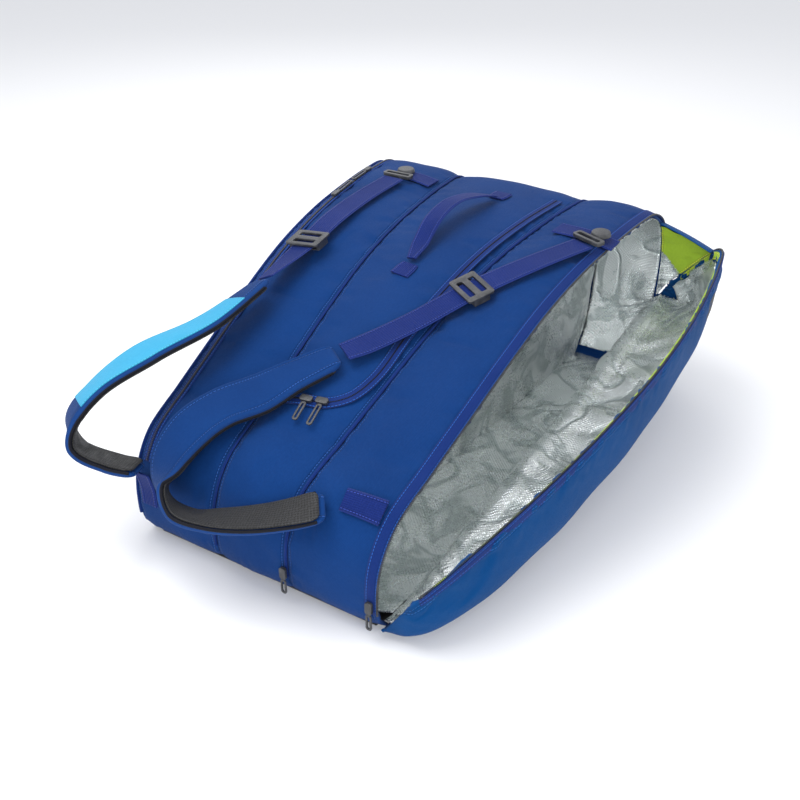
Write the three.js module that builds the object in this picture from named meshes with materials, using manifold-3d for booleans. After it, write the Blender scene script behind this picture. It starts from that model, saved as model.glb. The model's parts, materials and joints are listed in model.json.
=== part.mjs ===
// Racket tournament bag, lying on its base with the shoulder straps up.
// Frame: +Z up, +Y along the bag towards the racket-head end, -Y towards the grip end,
// +X towards the insulated compartment. Origin on the floor, under the middle of the base. Millimetres.
import * as THREE from "three";
import { mergeVertices } from "three/addons/utils/BufferGeometryUtils.js";
import Module from "manifold-3d";

// ---------------------------------------------------------------- driving dimensions
const TAIL_Y = -385; // grip end
const HEAD_Y = 412; // racket-head end
const SEAMS = {
  // x at the grip end and at the head end: the compartments spread with the racket heads
  leftEdge: [-178, -274],
  centre: [-50, -116],
  right: [61, 118],
  zipEdge: [190, 234],
};
// Side outline of the compartments (y, z), from the grip end's base corner over the top to the head's
const OUTLINE = [
  [-366, 5], [-381, 24], [-385, 55], [-378, 102], [-347, 143], [-275, 172], [-200, 200], [-100, 237],
  [0, 268], [100, 286], [200, 293], [290, 294], [350, 288], [393, 260], [410, 212], [412, 145],
  [404, 80], [388, 32], [368, 5],
];
const GAP = 0.4; // between neighbouring pieces
const CLOTH = 4; // padded cloth of the body
const BASE = 4; // base panel
const LINING = 1; // silver foil
const CROWN = 9; // rise of each compartment between its seams
const SIDE_BELLY = 20; // outward swell of the left side
const FLAP = { foldTail: 11, foldHead: 132, bow: 50, belly: 80, fullness: 0.3, sag: 0.79, openDeg: 31 };
const PAD = { outer: 9, mesh: 4 };
const WEBBING = { width: 38, thick: 2.4 };
const PROFILE_STEPS = 30;

// ---------------------------------------------------------------- materials
const finish = (color, roughness, metalness = 0) => new THREE.MeshStandardMaterial({ color, roughness, metalness });
const cobalt = finish(0x1c4b96, 0.8);
const azure = finish(0x0a5faa, 0.75);
const skyBlue = finish(0x4bbee1, 0.7);
const navyWeb = finish(0x2d3c91, 0.7);
const navyTape = finish(0x1a2f70, 0.8);
const blackMesh = finish(0x1b1b1d, 0.95);
const blackBase = finish(0x202022, 0.9);
const silverFoil = finish(0xc8ccce, 0.3, 0.8);
const lime = finish(0xc6dc4a, 0.7);
const gunmetal = finish(0x3c3d40, 0.45, 0.2);
const plainRubber = finish(0x161616, 0.85);
const whiteCloth = finish(0xd9dde2, 0.8);

// ---------------------------------------------------------------- outline helpers
const clamp01 = (t) => Math.min(1, Math.max(0, t));
const mix = (a, b, t) => a + (b - a) * t;
const along = (y) => (y - TAIL_Y) / (HEAD_Y - TAIL_Y);
const lane = ([atTail, atHead]) => (y) => mix(atTail, atHead, along(y));
const leftEdge = lane(SEAMS.leftEdge);
const centreSeam = lane(SEAMS.centre);
const rightSeam = lane(SEAMS.right);
const zipEdge = lane(SEAMS.zipEdge);

const outlineCurve = new THREE.CatmullRomCurve3(OUTLINE.map(([y, z]) => new THREE.Vector3(0, y, z)));
outlineCurve.arcLengthDivisions = 800;

// Stations of the outline: every piece that follows it shares them, so that facets match
const stations = Array.from({ length: PROFILE_STEPS + 1 }, (_, i) => {
  const p = outlineCurve.getPointAt(i / PROFILE_STEPS);
  const d = outlineCurve.getTangentAt(i / PROFILE_STEPS);
  return { y: p.y, z: p.z, out: { y: -d.z, z: d.y } };
});

// A point of the outline, pushed inwards by inset, with its outward direction
function outlineAt(t, inset = 0) {
  const f = clamp01(t) * PROFILE_STEPS;
  const i = Math.min(PROFILE_STEPS - 1, Math.floor(f));
  const [a, b] = [stations[i], stations[i + 1]];
  const out = { y: mix(a.out.y, b.out.y, f - i), z: mix(a.out.z, b.out.z, f - i) };
  return { y: mix(a.y, b.y, f - i) - out.y * inset, z: mix(a.z, b.z, f - i) - out.z * inset, out };
}

const topHalf = stations.filter((p) => p.out.z > 0.02);

// Height of the outline's upper side at y
function topZ(y) {
  for (let i = 1; i < topHalf.length; i++) {
    const a = topHalf[i - 1];
    const b = topHalf[i];
    if (y <= b.y) return mix(a.z, b.z, clamp01((y - a.y) / (b.y - a.y)));
  }
  return topHalf[topHalf.length - 1].z;
}

// Number of the station nearest to y on the outline's upper side
const stationNear = (y) =>
  stations.reduce((best, p, i) => (p.out.z > 0.02 && Math.abs(p.y - y) < Math.abs(stations[best].y - y) ? i : best), 8);

const crownShape = (s) => 1 - (2 * s - 1) ** 2;
const crownFade = (out) => 0.3 + 0.7 * Math.max(0, out.z); // the end faces swell less than the top

// Rise of the compartments' crowns at x, y
function crownAt(x, y) {
  const edges = [leftEdge(y), centreSeam(y), rightSeam(y), zipEdge(y)];
  const i = edges.findIndex((edge, k) => k < 3 && x >= edge && x <= edges[k + 1]);
  return i < 0 ? 0 : CROWN * crownShape((x - edges[i]) / (edges[i + 1] - edges[i]));
}

// Height of the bag's top surface, crowns included
const surfaceZ = (x, y) => topZ(y) + crownAt(x, y);

// A point lift above the bag's top surface
const onTop = (x, y, lift) => new THREE.Vector3(x, y, surfaceZ(x, y) + lift);

// Outward direction of the top at y, as the outline slopes there
function topNormal(y) {
  const step = 6;
  return new THREE.Vector3(0, topZ(y - step) - topZ(y + step), 2 * step).normalize();
}

// ---------------------------------------------------------------- solid helpers
function signedVolume(geometry) {
  const p = geometry.attributes.position;
  const at = (i) => new THREE.Vector3().fromBufferAttribute(p, geometry.index.getX(i));
  let sum = 0;
  for (let i = 0; i < geometry.index.count; i += 3) sum += at(i).dot(at(i + 1).cross(at(i + 2)));
  return sum / 6;
}

// A closed geometry from points and triangles: welds points, drops empty triangles, faces point out
function closedGeometry(points, triangles) {
  let geometry = new THREE.BufferGeometry();
  geometry.setAttribute("position", new THREE.Float32BufferAttribute(points.flatMap((p) => [p.x, p.y, p.z]), 3));
  geometry.setIndex(triangles.flat());
  geometry = mergeVertices(geometry, 1e-3);
  const index = [...geometry.index.array];
  const kept = [];
  for (let i = 0; i < index.length; i += 3) {
    const [a, b, c] = index.slice(i, i + 3);
    if (a !== b && b !== c && a !== c) kept.push(a, b, c);
  }
  geometry.setIndex(kept);
  if (signedVolume(geometry) < 0) geometry.setIndex(kept.map((_, i) => kept[i - (i % 3) + [0, 2, 1][i % 3]]));
  return geometry;
}

// A thin wall: the surface at(u, v) on a grid, and the same grid pushed by thickness along its normal.
// towards is a point that the wall thickens towards.
function wall(at, stepsU, stepsV, thickness, inward) {
  const rows = stepsU + 1;
  const cols = stepsV + 1;
  const outer = [];
  const inner = [];
  for (let i = 0; i < rows; i++) {
    for (let j = 0; j < cols; j++) {
      const [u, v] = [i / stepsU, j / stepsV];
      const e = 1e-3;
      const du = at(Math.min(1, u + e), v).sub(at(Math.max(0, u - e), v));
      const dv = at(u, Math.min(1, v + e)).sub(at(u, Math.max(0, v - e)));
      let n = du.cross(dv);
      if (n.lengthSq() < 1e-12) n = inward.clone();
      n.normalize();
      if (n.dot(inward instanceof THREE.Vector3 ? inward : inward(u, v)) < 0) n.negate();
      const p = at(u, v);
      outer.push(p);
      inner.push(p.clone().addScaledVector(n, thickness));
    }
  }
  const id = (i, j) => i * cols + j;
  const shift = rows * cols;
  const triangles = [];
  for (let i = 0; i < stepsU; i++) {
    for (let j = 0; j < stepsV; j++) {
      const [a, b, c, d] = [id(i, j), id(i + 1, j), id(i + 1, j + 1), id(i, j + 1)];
      triangles.push([a, b, c], [a, c, d], [a + shift, c + shift, b + shift], [a + shift, d + shift, c + shift]);
    }
  }
  const rim = [];
  for (let i = 0; i < stepsU; i++) rim.push([id(i, 0), id(i + 1, 0)]);
  for (let j = 0; j < stepsV; j++) rim.push([id(stepsU, j), id(stepsU, j + 1)]);
  for (let i = stepsU; i > 0; i--) rim.push([id(i, stepsV), id(i - 1, stepsV)]);
  for (let j = stepsV; j > 0; j--) rim.push([id(0, j), id(0, j - 1)]);
  rim.forEach(([a, b]) => triangles.push([b, a, a + shift], [b, a + shift, b + shift]));
  return closedGeometry([...outer, ...inner], triangles);
}

// A closed solid through rings of equal length, capped flat at both ends
function loft(rings) {
  const n = rings[0].length;
  const triangles = [];
  for (let i = 0; i < rings.length - 1; i++) {
    for (let j = 0; j < n; j++) {
      const [a, b] = [i * n + j, i * n + ((j + 1) % n)];
      triangles.push([a, b, b + n], [a, b + n, a + n]);
    }
  }
  const last = (rings.length - 1) * n;
  for (let j = 1; j < n - 1; j++) triangles.push([0, j + 1, j], [last, last + j, last + j + 1]);
  return closedGeometry(rings.flat(), triangles);
}

// A flat band (webbing, pad) through hand-chosen stations {p, n, w}: p the middle, n the outer face's
// direction, w the width. It lies from offset to offset + thick under the outer face line.
function ribbon(stations, steps, thick, offset = 0, from = 0, to = 1) {
  const path = new THREE.CatmullRomCurve3(stations.map((s) => s.p), false, "centripetal");
  const facing = new THREE.CatmullRomCurve3(stations.map((s) => s.n), false, "centripetal");
  const rings = [];
  for (let i = 0; i <= steps; i++) {
    const t = mix(from, to, i / steps);
    const p = path.getPoint(t);
    const d = path.getTangent(t);
    const across = new THREE.Vector3().crossVectors(d, facing.getPoint(t)).normalize();
    const up = new THREE.Vector3().crossVectors(across, d).normalize();
    const k = Math.min(stations.length - 2, Math.floor(t * (stations.length - 1)));
    const w = mix(stations[k].w, stations[k + 1].w, t * (stations.length - 1) - k) / 2;
    const soft = 2;
    const section =
      thick < 2 * soft
        ? [[-w, 0], [w, 0], [w, -thick], [-w, -thick]]
        : [[-w + soft, 0], [w - soft, 0], [w, -soft], [w, -thick], [-w, -thick], [-w, -soft]];
    rings.push(section.map(([a, b]) => p.clone().addScaledVector(across, a).addScaledVector(up, b - offset)));
  }
  return loft(rings);
}

// A frame of directions: x along, z out of the surface
function basis(xDir, zDir) {
  const z = zDir.clone().normalize();
  const y = new THREE.Vector3().crossVectors(z, xDir).normalize();
  const x = new THREE.Vector3().crossVectors(y, z);
  return new THREE.Matrix4().makeBasis(x, y, z);
}

function place(mesh, at, xDir, zDir) {
  mesh.quaternion.setFromRotationMatrix(basis(xDir, zDir));
  mesh.position.copy(at);
  return mesh;
}

const bag = new THREE.Group();
function piece(name, geometry, material, parent = bag) {
  const mesh = new THREE.Mesh(geometry, material);
  mesh.name = name;
  parent.add(mesh);
  return mesh;
}

// Rounded-rectangle outline centred on the origin
function roundedRect(w, h, r, Kind = THREE.Shape) {
  const s = new Kind();
  s.moveTo(-w / 2 + r, -h / 2);
  s.lineTo(w / 2 - r, -h / 2);
  s.absarc(w / 2 - r, -h / 2 + r, r, -Math.PI / 2, 0);
  s.lineTo(w / 2, h / 2 - r);
  s.absarc(w / 2 - r, h / 2 - r, r, 0, Math.PI / 2);
  s.lineTo(-w / 2 + r, h / 2);
  s.absarc(-w / 2 + r, h / 2 - r, r, Math.PI / 2, Math.PI);
  s.lineTo(-w / 2, -h / 2 + r);
  s.absarc(-w / 2 + r, -h / 2 + r, r, Math.PI, 1.5 * Math.PI);
  return s;
}

const extrude = (shape, depth, curveSegments = 3) =>
  new THREE.ExtrudeGeometry(shape, { depth, bevelEnabled: false, curveSegments });

// ---------------------------------------------------------------- booleans
const wasm = await Module();
wasm.setup();

function toManifold(geometry) {
  const bare = geometry.index ? geometry.clone() : mergeVertices(geometry.clone());
  bare.deleteAttribute("normal");
  bare.deleteAttribute("uv");
  const merged = mergeVertices(bare, 1e-4);
  return new wasm.Manifold(
    new wasm.Mesh({
      numProp: 3,
      vertProperties: new Float32Array(merged.attributes.position.array),
      triVerts: new Uint32Array(merged.index.array),
    }),
  );
}

function fromManifold(solid) {
  const mesh = solid.getMesh();
  const geometry = new THREE.BufferGeometry();
  geometry.setAttribute("position", new THREE.Float32BufferAttribute(mesh.vertProperties, 3));
  geometry.setIndex(new THREE.Uint32BufferAttribute(mesh.triVerts, 1));
  return geometry;
}

const join = (...parts) => fromManifold(parts.map(toManifold).reduce((a, b) => a.add(b)));

// ---------------------------------------------------------------- body of the bag
// Base panel: flat, widening with the compartments
function makeBase() {
  const [yTail, yHead] = [OUTLINE[0][0], OUTLINE[OUTLINE.length - 1][0]];
  const inset = 6;
  const s = new THREE.Shape();
  s.moveTo(leftEdge(yTail) + inset, yTail);
  s.lineTo(zipEdge(yTail) - inset, yTail);
  s.lineTo(zipEdge(yHead) - inset, yHead);
  s.lineTo(leftEdge(yHead) + inset, yHead);
  piece("base_panel", extrude(s, BASE), blackBase);
}

// Gusset band of a compartment: over the tail end, the top and the head end, between two seams
function makeBand(name, from, to, material) {
  const at = (u, v) => {
    const o = outlineAt(u);
    const lift = CROWN * crownShape(v) * crownFade(o.out);
    return new THREE.Vector3(mix(from(o.y), to(o.y), v), o.y + o.out.y * lift, o.z + o.out.z * lift);
  };
  const inward = (u) => {
    const o = outlineAt(u);
    return new THREE.Vector3(0, -o.out.y, -o.out.z);
  };
  piece(name, wall(at, PROFILE_STEPS, 4, CLOTH, inward), material);
}

// A point of an upright wall that fills the outline: u along the base, v from base to outline
function sidePoint(u, v, inset = 0) {
  const o = outlineAt(u, inset);
  const first = outlineAt(0, inset);
  const last = outlineAt(1, inset);
  return { y: mix(mix(first.y, last.y, u), o.y, v), z: mix(BASE + 1, o.z, v) };
}

function makeLeftSide() {
  const at = (u, v) => {
    const p = sidePoint(u, v);
    const belly = SIDE_BELLY * Math.sin(Math.PI * v) * Math.sin(Math.PI * u) ** 0.5;
    return new THREE.Vector3(leftEdge(p.y) - belly, p.y, p.z);
  };
  piece("left_side_panel", wall(at, PROFILE_STEPS, 5, CLOTH, new THREE.Vector3(1, 0, 0)), cobalt);
}

function makeDivider(name, seam, material, thickness, shift, inset) {
  const at = (u, v) => {
    const p = sidePoint(u, v, inset);
    return new THREE.Vector3(seam(p.y) + shift, p.y, p.z);
  };
  piece(name, wall(at, PROFILE_STEPS - 4, 1, thickness, new THREE.Vector3(1, 0, 0)), material);
}

// Bead of piping that follows a seam over the outline, from one station to another
function makePiping(name, seam, first, last) {
  const radius = 2;
  const rings = [];
  for (let i = first; i <= last; i++) {
    const o = outlineAt(i / PROFILE_STEPS, -(radius + 2 * GAP));
    const ring = [];
    for (let k = 0; k < 6; k++) {
      const a = (Math.PI * k) / 3;
      const r = radius * Math.sin(a);
      ring.push(new THREE.Vector3(seam(o.y) + radius * Math.cos(a), o.y + o.out.y * r, o.z + o.out.z * r));
    }
    rings.push(ring);
  }
  piece(name, loft(rings), navyTape);
}

// Thin strip on the bag's surface: from edge + a to edge + b across, between two stations
function makeStrip(name, edge, a, b, first, last, material, thickness = 1.4) {
  const at = (u, v) => {
    const o = outlineAt(mix(first, last, u) / PROFILE_STEPS);
    const x = edge(o.y) + mix(a, b, v);
    const lift = crownAt(x, o.y) * crownFade(o.out) + GAP + thickness;
    return new THREE.Vector3(x, o.y + o.out.y * lift, o.z + o.out.z * lift);
  };
  const inward = (u) => {
    const o = outlineAt(mix(first, last, u) / PROFILE_STEPS);
    return new THREE.Vector3(0, -o.out.y, -o.out.z);
  };
  piece(name, wall(at, last - first, 2, thickness, inward), material);
}

makeBase();
makeLeftSide();
makeBand("left_gusset", (y) => leftEdge(y) + CLOTH + GAP, (y) => centreSeam(y) - GAP, cobalt);
makeBand("middle_gusset", (y) => centreSeam(y) + GAP, (y) => rightSeam(y) - GAP, cobalt);
makeBand("insulated_gusset", (y) => rightSeam(y) + GAP, (y) => zipEdge(y) - GAP, cobalt);
makeDivider("centre_divider", centreSeam, whiteCloth, 3, -1.5, CLOTH + 2);
makeDivider("right_divider", rightSeam, whiteCloth, 3, -1.5, CLOTH + 2);
makePiping("centre_piping", centreSeam, 1, PROFILE_STEPS - 1);
makePiping("right_piping", rightSeam, 1, PROFILE_STEPS - 1);

// ---------------------------------------------------------------- insulated compartment
// The flap's fold: a straight crease from the base's corner at the grip end, up to the head end
const foldTail = new THREE.Vector3(zipEdge(TAIL_Y) + GAP + CLOTH, TAIL_Y, FLAP.foldTail);
const foldHead = new THREE.Vector3(zipEdge(HEAD_Y) + GAP + CLOTH, HEAD_Y, FLAP.foldHead);
const foldAxis = foldHead.clone().sub(foldTail).normalize();
const foldZ = (y) => mix(FLAP.foldTail, FLAP.foldHead, along(y));
const flapFirst = 2 / PROFILE_STEPS;
const headStations = stations.filter((o) => o.y > 0 && o.z > foldZ(o.y));
const flapLast = stations.indexOf(headStations[headStations.length - 1]) / PROFILE_STEPS;

// Outer face of the closed flap: u from grip end to head end, v from the fold to the zip
function flapPoint(u, v) {
  const o = outlineAt(mix(flapFirst, flapLast, u));
  const foldY = mix(TAIL_Y + 4, HEAD_Y - 2, u);
  const y = mix(foldY, o.y, v);
  const z = mix(foldZ(foldY) + 1.5, o.z, v);
  const fullness = clamp01(Math.sin(Math.PI * u)) ** FLAP.fullness;
  const x = zipEdge(y) + GAP + CLOTH + FLAP.bow * Math.sin(Math.PI * u) * v * v;
  return new THREE.Vector3(x + FLAP.belly * fullness * Math.sin(Math.PI * v ** FLAP.sag), y, z);
}

// The same face moved out (or in, when negative) along its normal, between two heights v0 and v1
function flapLayer(u0, u1, v0, v1, offset) {
  return (a, b) => {
    const [u, v] = [mix(u0, u1, a), mix(v0, v1, b)];
    const e = 2e-3;
    const du = flapPoint(Math.min(1, u + e), v).sub(flapPoint(Math.max(0, u - e), v));
    const dv = flapPoint(u, Math.min(1, v + e)).sub(flapPoint(u, Math.max(0, v - e)));
    const n = du.cross(dv).normalize();
    if (n.x < 0) n.negate();
    return flapPoint(u, v).addScaledVector(n, offset);
  };
}

const flap = new THREE.Group();
flap.position.copy(foldTail);
flap.quaternion.setFromAxisAngle(foldAxis, THREE.MathUtils.degToRad(FLAP.openDeg));
bag.add(flap);
const closedFlap = new THREE.Group();
closedFlap.position.copy(foldTail).negate();
flap.add(closedFlap);
const opened = (p) => p.clone().sub(foldTail).applyQuaternion(flap.quaternion).add(foldTail);

const inX = new THREE.Vector3(-1, 0, 0);
const flapSteps = Math.round((flapLast - flapFirst) * PROFILE_STEPS);
const onFlap = (name, [u0, u1, v0, v1], offset, thick, material, steps = flapSteps, rows = 1) =>
  piece(name, wall(flapLayer(u0, u1, v0, v1, offset), steps, rows, thick, inX), material, closedFlap);
onFlap("side_flap", [0, 1, 0, 1], 0, CLOTH, azure, flapSteps, 8);
onFlap("flap_lining", [0.08, 0.94, 0.05, 0.885], -CLOTH - 3, LINING, silverFoil, flapSteps, 4);
onFlap("flap_binding", [0.06, 0.95, 0.92, 0.98], -CLOTH - 1.5, 2, lime);
onFlap("flap_zip_tape", [0.05, 0.92, 0.93, 0.995], 4.4, 1.6, navyTape);
onFlap("flap_patch", [0.66, 0.77, 0.72, 0.88], 3.4, 1.6, plainRubber, 3, 2);

// Fixed part of the right side, between the base and the fold
function makeLowerSide() {
  const at = (u, v) => {
    const y0 = mix(stations[0].y, stations[PROFILE_STEPS].y, mix(0.03, 1, u));
    const y1 = mix(TAIL_Y + 8, HEAD_Y - 4, u);
    const y = mix(y0, y1, v);
    return new THREE.Vector3(zipEdge(y) + GAP + CLOTH, y, mix(BASE + 1, foldZ(y1) - 2, v));
  };
  piece("right_side_lower", wall(at, 16, 2, CLOTH, inX), azure);
}
makeLowerSide();

// Folding gusset that joins the flap to the band at the head end
function makeHeadGusset() {
  const startHeight = 262;
  const first = headStations.find((o) => o.y > 300 && o.z < startHeight);
  const t0 = stations.indexOf(first) / PROFILE_STEPS;
  const t1 = flapLast - 1 / PROFILE_STEPS;
  const at = (u, v) => {
    const t = mix(t0, t1, u);
    const o = outlineAt(t, 1);
    const near = new THREE.Vector3(zipEdge(o.y), o.y, o.z);
    const far = opened(flapPoint((t - flapFirst) / (flapLast - flapFirst), 0.98).add(new THREE.Vector3(-CLOTH, 0, 0)));
    const chord = far.clone().sub(near);
    const room = 2.5 / chord.length();
    return near.addScaledVector(chord, mix(room, 1 - 1.6 * room, v));
  };
  const steps = Math.max(2, Math.round((t1 - t0) * PROFILE_STEPS));
  piece("head_gusset", wall(at, steps, 3, 1.5, new THREE.Vector3(0, -1, 0)), cobalt);
}
makeHeadGusset();

makeDivider("divider_lining", rightSeam, silverFoil, LINING, 1.5 + GAP, CLOTH + 4);
function makeFloorLining() {
  const [y0, y1] = [stations[0].y + 12, stations[PROFILE_STEPS].y - 12];
  const s = new THREE.Shape();
  s.moveTo(rightSeam(y0) + 5, y0);
  s.lineTo(zipEdge(y0) - 3, y0);
  s.lineTo(zipEdge(y1) - 3, y1);
  s.lineTo(rightSeam(y1) + 5, y1);
  piece("floor_lining", extrude(s, LINING), silverFoil).position.z = BASE + GAP;
}
makeFloorLining();
function makeBandLining() {
  const at = (u, v) => {
    const o = outlineAt(mix(2, PROFILE_STEPS - 2, u) / PROFILE_STEPS);
    const x = mix(rightSeam(o.y) + 6, zipEdge(o.y) - 4, v);
    const sink = CLOTH + 1.5 - crownAt(x, o.y) * crownFade(o.out);
    return new THREE.Vector3(x, o.y - o.out.y * sink, o.z - o.out.z * sink);
  };
  const inward = (u) => {
    const o = outlineAt(mix(2, PROFILE_STEPS - 2, u) / PROFILE_STEPS);
    return new THREE.Vector3(0, -o.out.y, -o.out.z);
  };
  piece("band_lining", wall(at, PROFILE_STEPS - 4, 3, LINING, inward), silverFoil);
}
makeBandLining();

// ---------------------------------------------------------------- zips
const headEnd = stationNear(380);
makeStrip("left_zip_tape", leftEdge, 8, 22, 3, headEnd, navyTape);
makeStrip("insulated_zip_tape", zipEdge, -16, -2, 1, headEnd + 1, navyTape);
const J_ZIP = [[88, 300], [80, 200], [72, 90], [67, 0], [61, -100], [59, -180], [46, -220], [22, -241], [-8, -246], [-36, -249]];
const jStations = J_ZIP.map(([x, y]) => ({ p: onTop(x, y, 4.6), n: topNormal(y), w: 16 }));
piece("middle_zip_tape", ribbon(jStations, 36, 1.6), navyTape);

// Zip slider (x along the zip) and pull (a long ring that starts beside the slider)
const SLIDER = { length: 17, width: 9, height: 4 };
const sliderGeometry = extrude(roundedRect(SLIDER.length, SLIDER.width, 3), SLIDER.height, 2);
function makePull(name, at, xDir, zDir, length, start) {
  const s = roundedRect(length, 8, 3.5);
  s.holes.push(roundedRect(length - 6, 3, 1.4, THREE.Path));
  const geometry = extrude(s, 1.8, 2).translate(start + length / 2, 0, 1.4);
  place(piece(name, geometry, gunmetal), at, xDir, zDir);
}
function makeZipEnd(name, at, zipDir, zDir, length, pullDir = null) {
  place(piece(`${name}_slider`, sliderGeometry.clone(), gunmetal), at, zipDir, zDir);
  const start = (pullDir ? SLIDER.width : SLIDER.length) / 2 + 1;
  makePull(`${name}_pull`, at, pullDir || zipDir, zDir, length, start);
}
const slopeAlong = (y, sign) => {
  const n = topNormal(y);
  return new THREE.Vector3(-0.11 * sign, n.z * sign, -n.y * sign);
};
const ZIP_LIFT = 3.4; // top of a zip tape, with clearance
makeZipEnd("left_zip_rear", onTop(leftEdge(150) + 15, 150, ZIP_LIFT), slopeAlong(150, 1), topNormal(150), 44);
makeZipEnd("left_zip_front", onTop(leftEdge(264) + 15, 264, ZIP_LIFT), slopeAlong(264, -1), topNormal(264), 44);
const crossZip = new THREE.Vector3(-1, -0.12, 0);
const downSlope = new THREE.Vector3(0.12, -1, -0.35);
makeZipEnd("middle_zip_right", onTop(20, -243, ZIP_LIFT + 2), crossZip, topNormal(-243), 34, downSlope);
makeZipEnd("middle_zip_left", onTop(-1, -247, ZIP_LIFT + 2), crossZip, topNormal(-247), 30, downSlope);
const down = new THREE.Vector3(0, 0, -1);
const tailward = new THREE.Vector3(0, -1, 0);
makeZipEnd("seam_zip", new THREE.Vector3(rightSeam(TAIL_Y), TAIL_Y - 6, 50), down, tailward, 22);
makeZipEnd("tail_zip", new THREE.Vector3(zipEdge(TAIL_Y) - 8, TAIL_Y - 4.5, 52), down, tailward, 24);
const headCorner = stations[headEnd + 1];
makeZipEnd(
  "head_zip",
  new THREE.Vector3(zipEdge(headCorner.y) - 9, headCorner.y + headCorner.out.y * 4.5, headCorner.z + headCorner.out.z * 4.5),
  new THREE.Vector3(0, headCorner.out.z, -headCorner.out.y),
  new THREE.Vector3(0, headCorner.out.y, headCorner.out.z),
  24,
);

// ---------------------------------------------------------------- shoulder straps
const V = (x, y, z) => new THREE.Vector3(x, y, z);
const lying = (x, y, lift, w) => ({ p: onTop(x, y, lift), n: topNormal(y), w });

const rightWebbing = [
  lying(192, 152, 9, WEBBING.width), lying(153, 62, 10.5, WEBBING.width), lying(106, -16, 12.8, WEBBING.width),
  lying(62, -92, 12.5, WEBBING.width), lying(26, -150, 13, WEBBING.width), lying(9, -177, 18, WEBBING.width - 4),
];
const rightPad = [
  lying(3, -186, 22, 44), lying(-33, -234, 26, 54), lying(-58, -270, 31, 66), lying(-90, -310, 27, 68),
  { p: V(-107, -350, 179), n: V(-0.08, -0.5, 0.85), w: 70 }, { p: V(-113, -391, 152), n: V(-0.25, -0.8, 0.5), w: 66 },
  { p: V(-101, -420, 124), n: V(-0.35, -0.85, -0.25), w: 58 }, { p: V(-60, -430, 106), n: V(-0.1, -0.5, -0.85), w: 52 },
  { p: V(-10, -422, 112), n: V(0, -0.2, -0.98), w: 50 }, { p: V(40, -404, 123), n: V(0, 0, -1), w: 48 },
  { p: V(82, -386, 138), n: V(0, 0.15, -1), w: 46 }, { p: V(112, -368, 151), n: V(0, 0.35, -0.94), w: 42 },
];
const leftWebbing = [
  lying(-169, 231, 9, WEBBING.width), lying(-171, 150, 9, WEBBING.width), lying(-168, 60, 13, WEBBING.width),
  { p: V(-164, -12, 290), n: V(-0.1, -0.15, 1), w: WEBBING.width },
  { p: V(-162, -60, 283), n: V(-0.25, -0.15, 0.95), w: WEBBING.width },
  { p: V(-163, -116, 274), n: V(-0.45, -0.1, 0.88), w: WEBBING.width - 4 },
];
const leftPad = [
  { p: V(-164, -122, 275), n: V(-0.45, -0.1, 0.88), w: 42 }, { p: V(-180, -224, 252), n: V(-0.35, -0.1, 0.93), w: 62 },
  { p: V(-208, -311, 239), n: V(-0.3, -0.2, 0.93), w: 66 }, { p: V(-232, -380, 214), n: V(-0.5, -0.35, 0.75), w: 64 },
  { p: V(-243, -419, 182), n: V(-0.6, -0.75, 0.35), w: 60 }, { p: V(-224, -434, 148), n: V(-0.5, -0.65, -0.6), w: 54 },
  { p: V(-182, -418, 128), n: V(-0.1, -0.35, -0.93), w: 48 }, { p: V(-146, -404, 124), n: V(0, -0.2, -0.97), w: 40 },
];

function makeStrap(side, webbing, pad) {
  piece(`${side}_strap_webbing`, ribbon(webbing, 20, WEBBING.thick), navyWeb);
  piece(`${side}_strap_pad`, ribbon(pad, 36, PAD.outer), cobalt);
  piece(`${side}_strap_mesh`, ribbon(pad, 36, PAD.mesh, PAD.outer + 3 * GAP), blackMesh);
}
makeStrap("right", rightWebbing, rightPad);
makeStrap("left", leftWebbing, leftPad);
piece("left_strap_cover", ribbon(leftPad, 12, 1, -3, 0.15, 0.5), skyBlue);

// Sewn lower ends of the straps
const rightAnchor = [lying(122, -349, 7, 28), lying(150, -347, 6, 30), lying(174, -345, 6.5, 32)];
piece("right_strap_anchor", ribbon(rightAnchor, 6, WEBBING.thick), navyWeb);
const leftAnchor = [
  { p: V(-151, -399, 119), n: V(0, -1, -0.2), w: 26 }, { p: V(-151, -396, 107), n: V(0, -1, -0.1), w: 26 },
  { p: V(-151, -393, 90), n: V(0, -1, 0), w: 26 }, { p: V(-151, -393, 66), n: V(0, -1, 0), w: 26 },
];
piece("left_strap_anchor", ribbon(leftAnchor, 8, WEBBING.thick), navyWeb);

// Sliding adjuster: a slotted plate over the webbing, joined under it
function makeAdjuster(name, at, xDir, zDir) {
  const plate = roundedRect(40, 54, 4);
  for (const x of [-9, 9]) {
    const slot = roundedRect(9, 36, 2, THREE.Path);
    plate.holes.push(new THREE.Path(slot.getPoints(3).map((q) => new THREE.Vector2(q.x + x, q.y))));
  }
  const over = extrude(plate, 3).translate(0, 0, 2.2);
  const sides = [-1, 1].map((s) => new THREE.BoxGeometry(24, 4, 9.8).translate(0, s * 23.5, -1.9));
  const under = new THREE.BoxGeometry(24, 51, 1.6).translate(0, 0, -6.4);
  return place(piece(name, join(over, ...sides, under), gunmetal), at, xDir, zDir);
}
const rightRun = rightWebbing[3].p.clone().sub(rightWebbing[1].p);
makeAdjuster("right_adjuster", rightWebbing[2].p, rightRun, rightWebbing[2].n);
const leftRun = leftWebbing[4].p.clone().sub(leftWebbing[2].p);
makeAdjuster("left_adjuster", leftWebbing[3].p, leftRun, leftWebbing[3].n);

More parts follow.
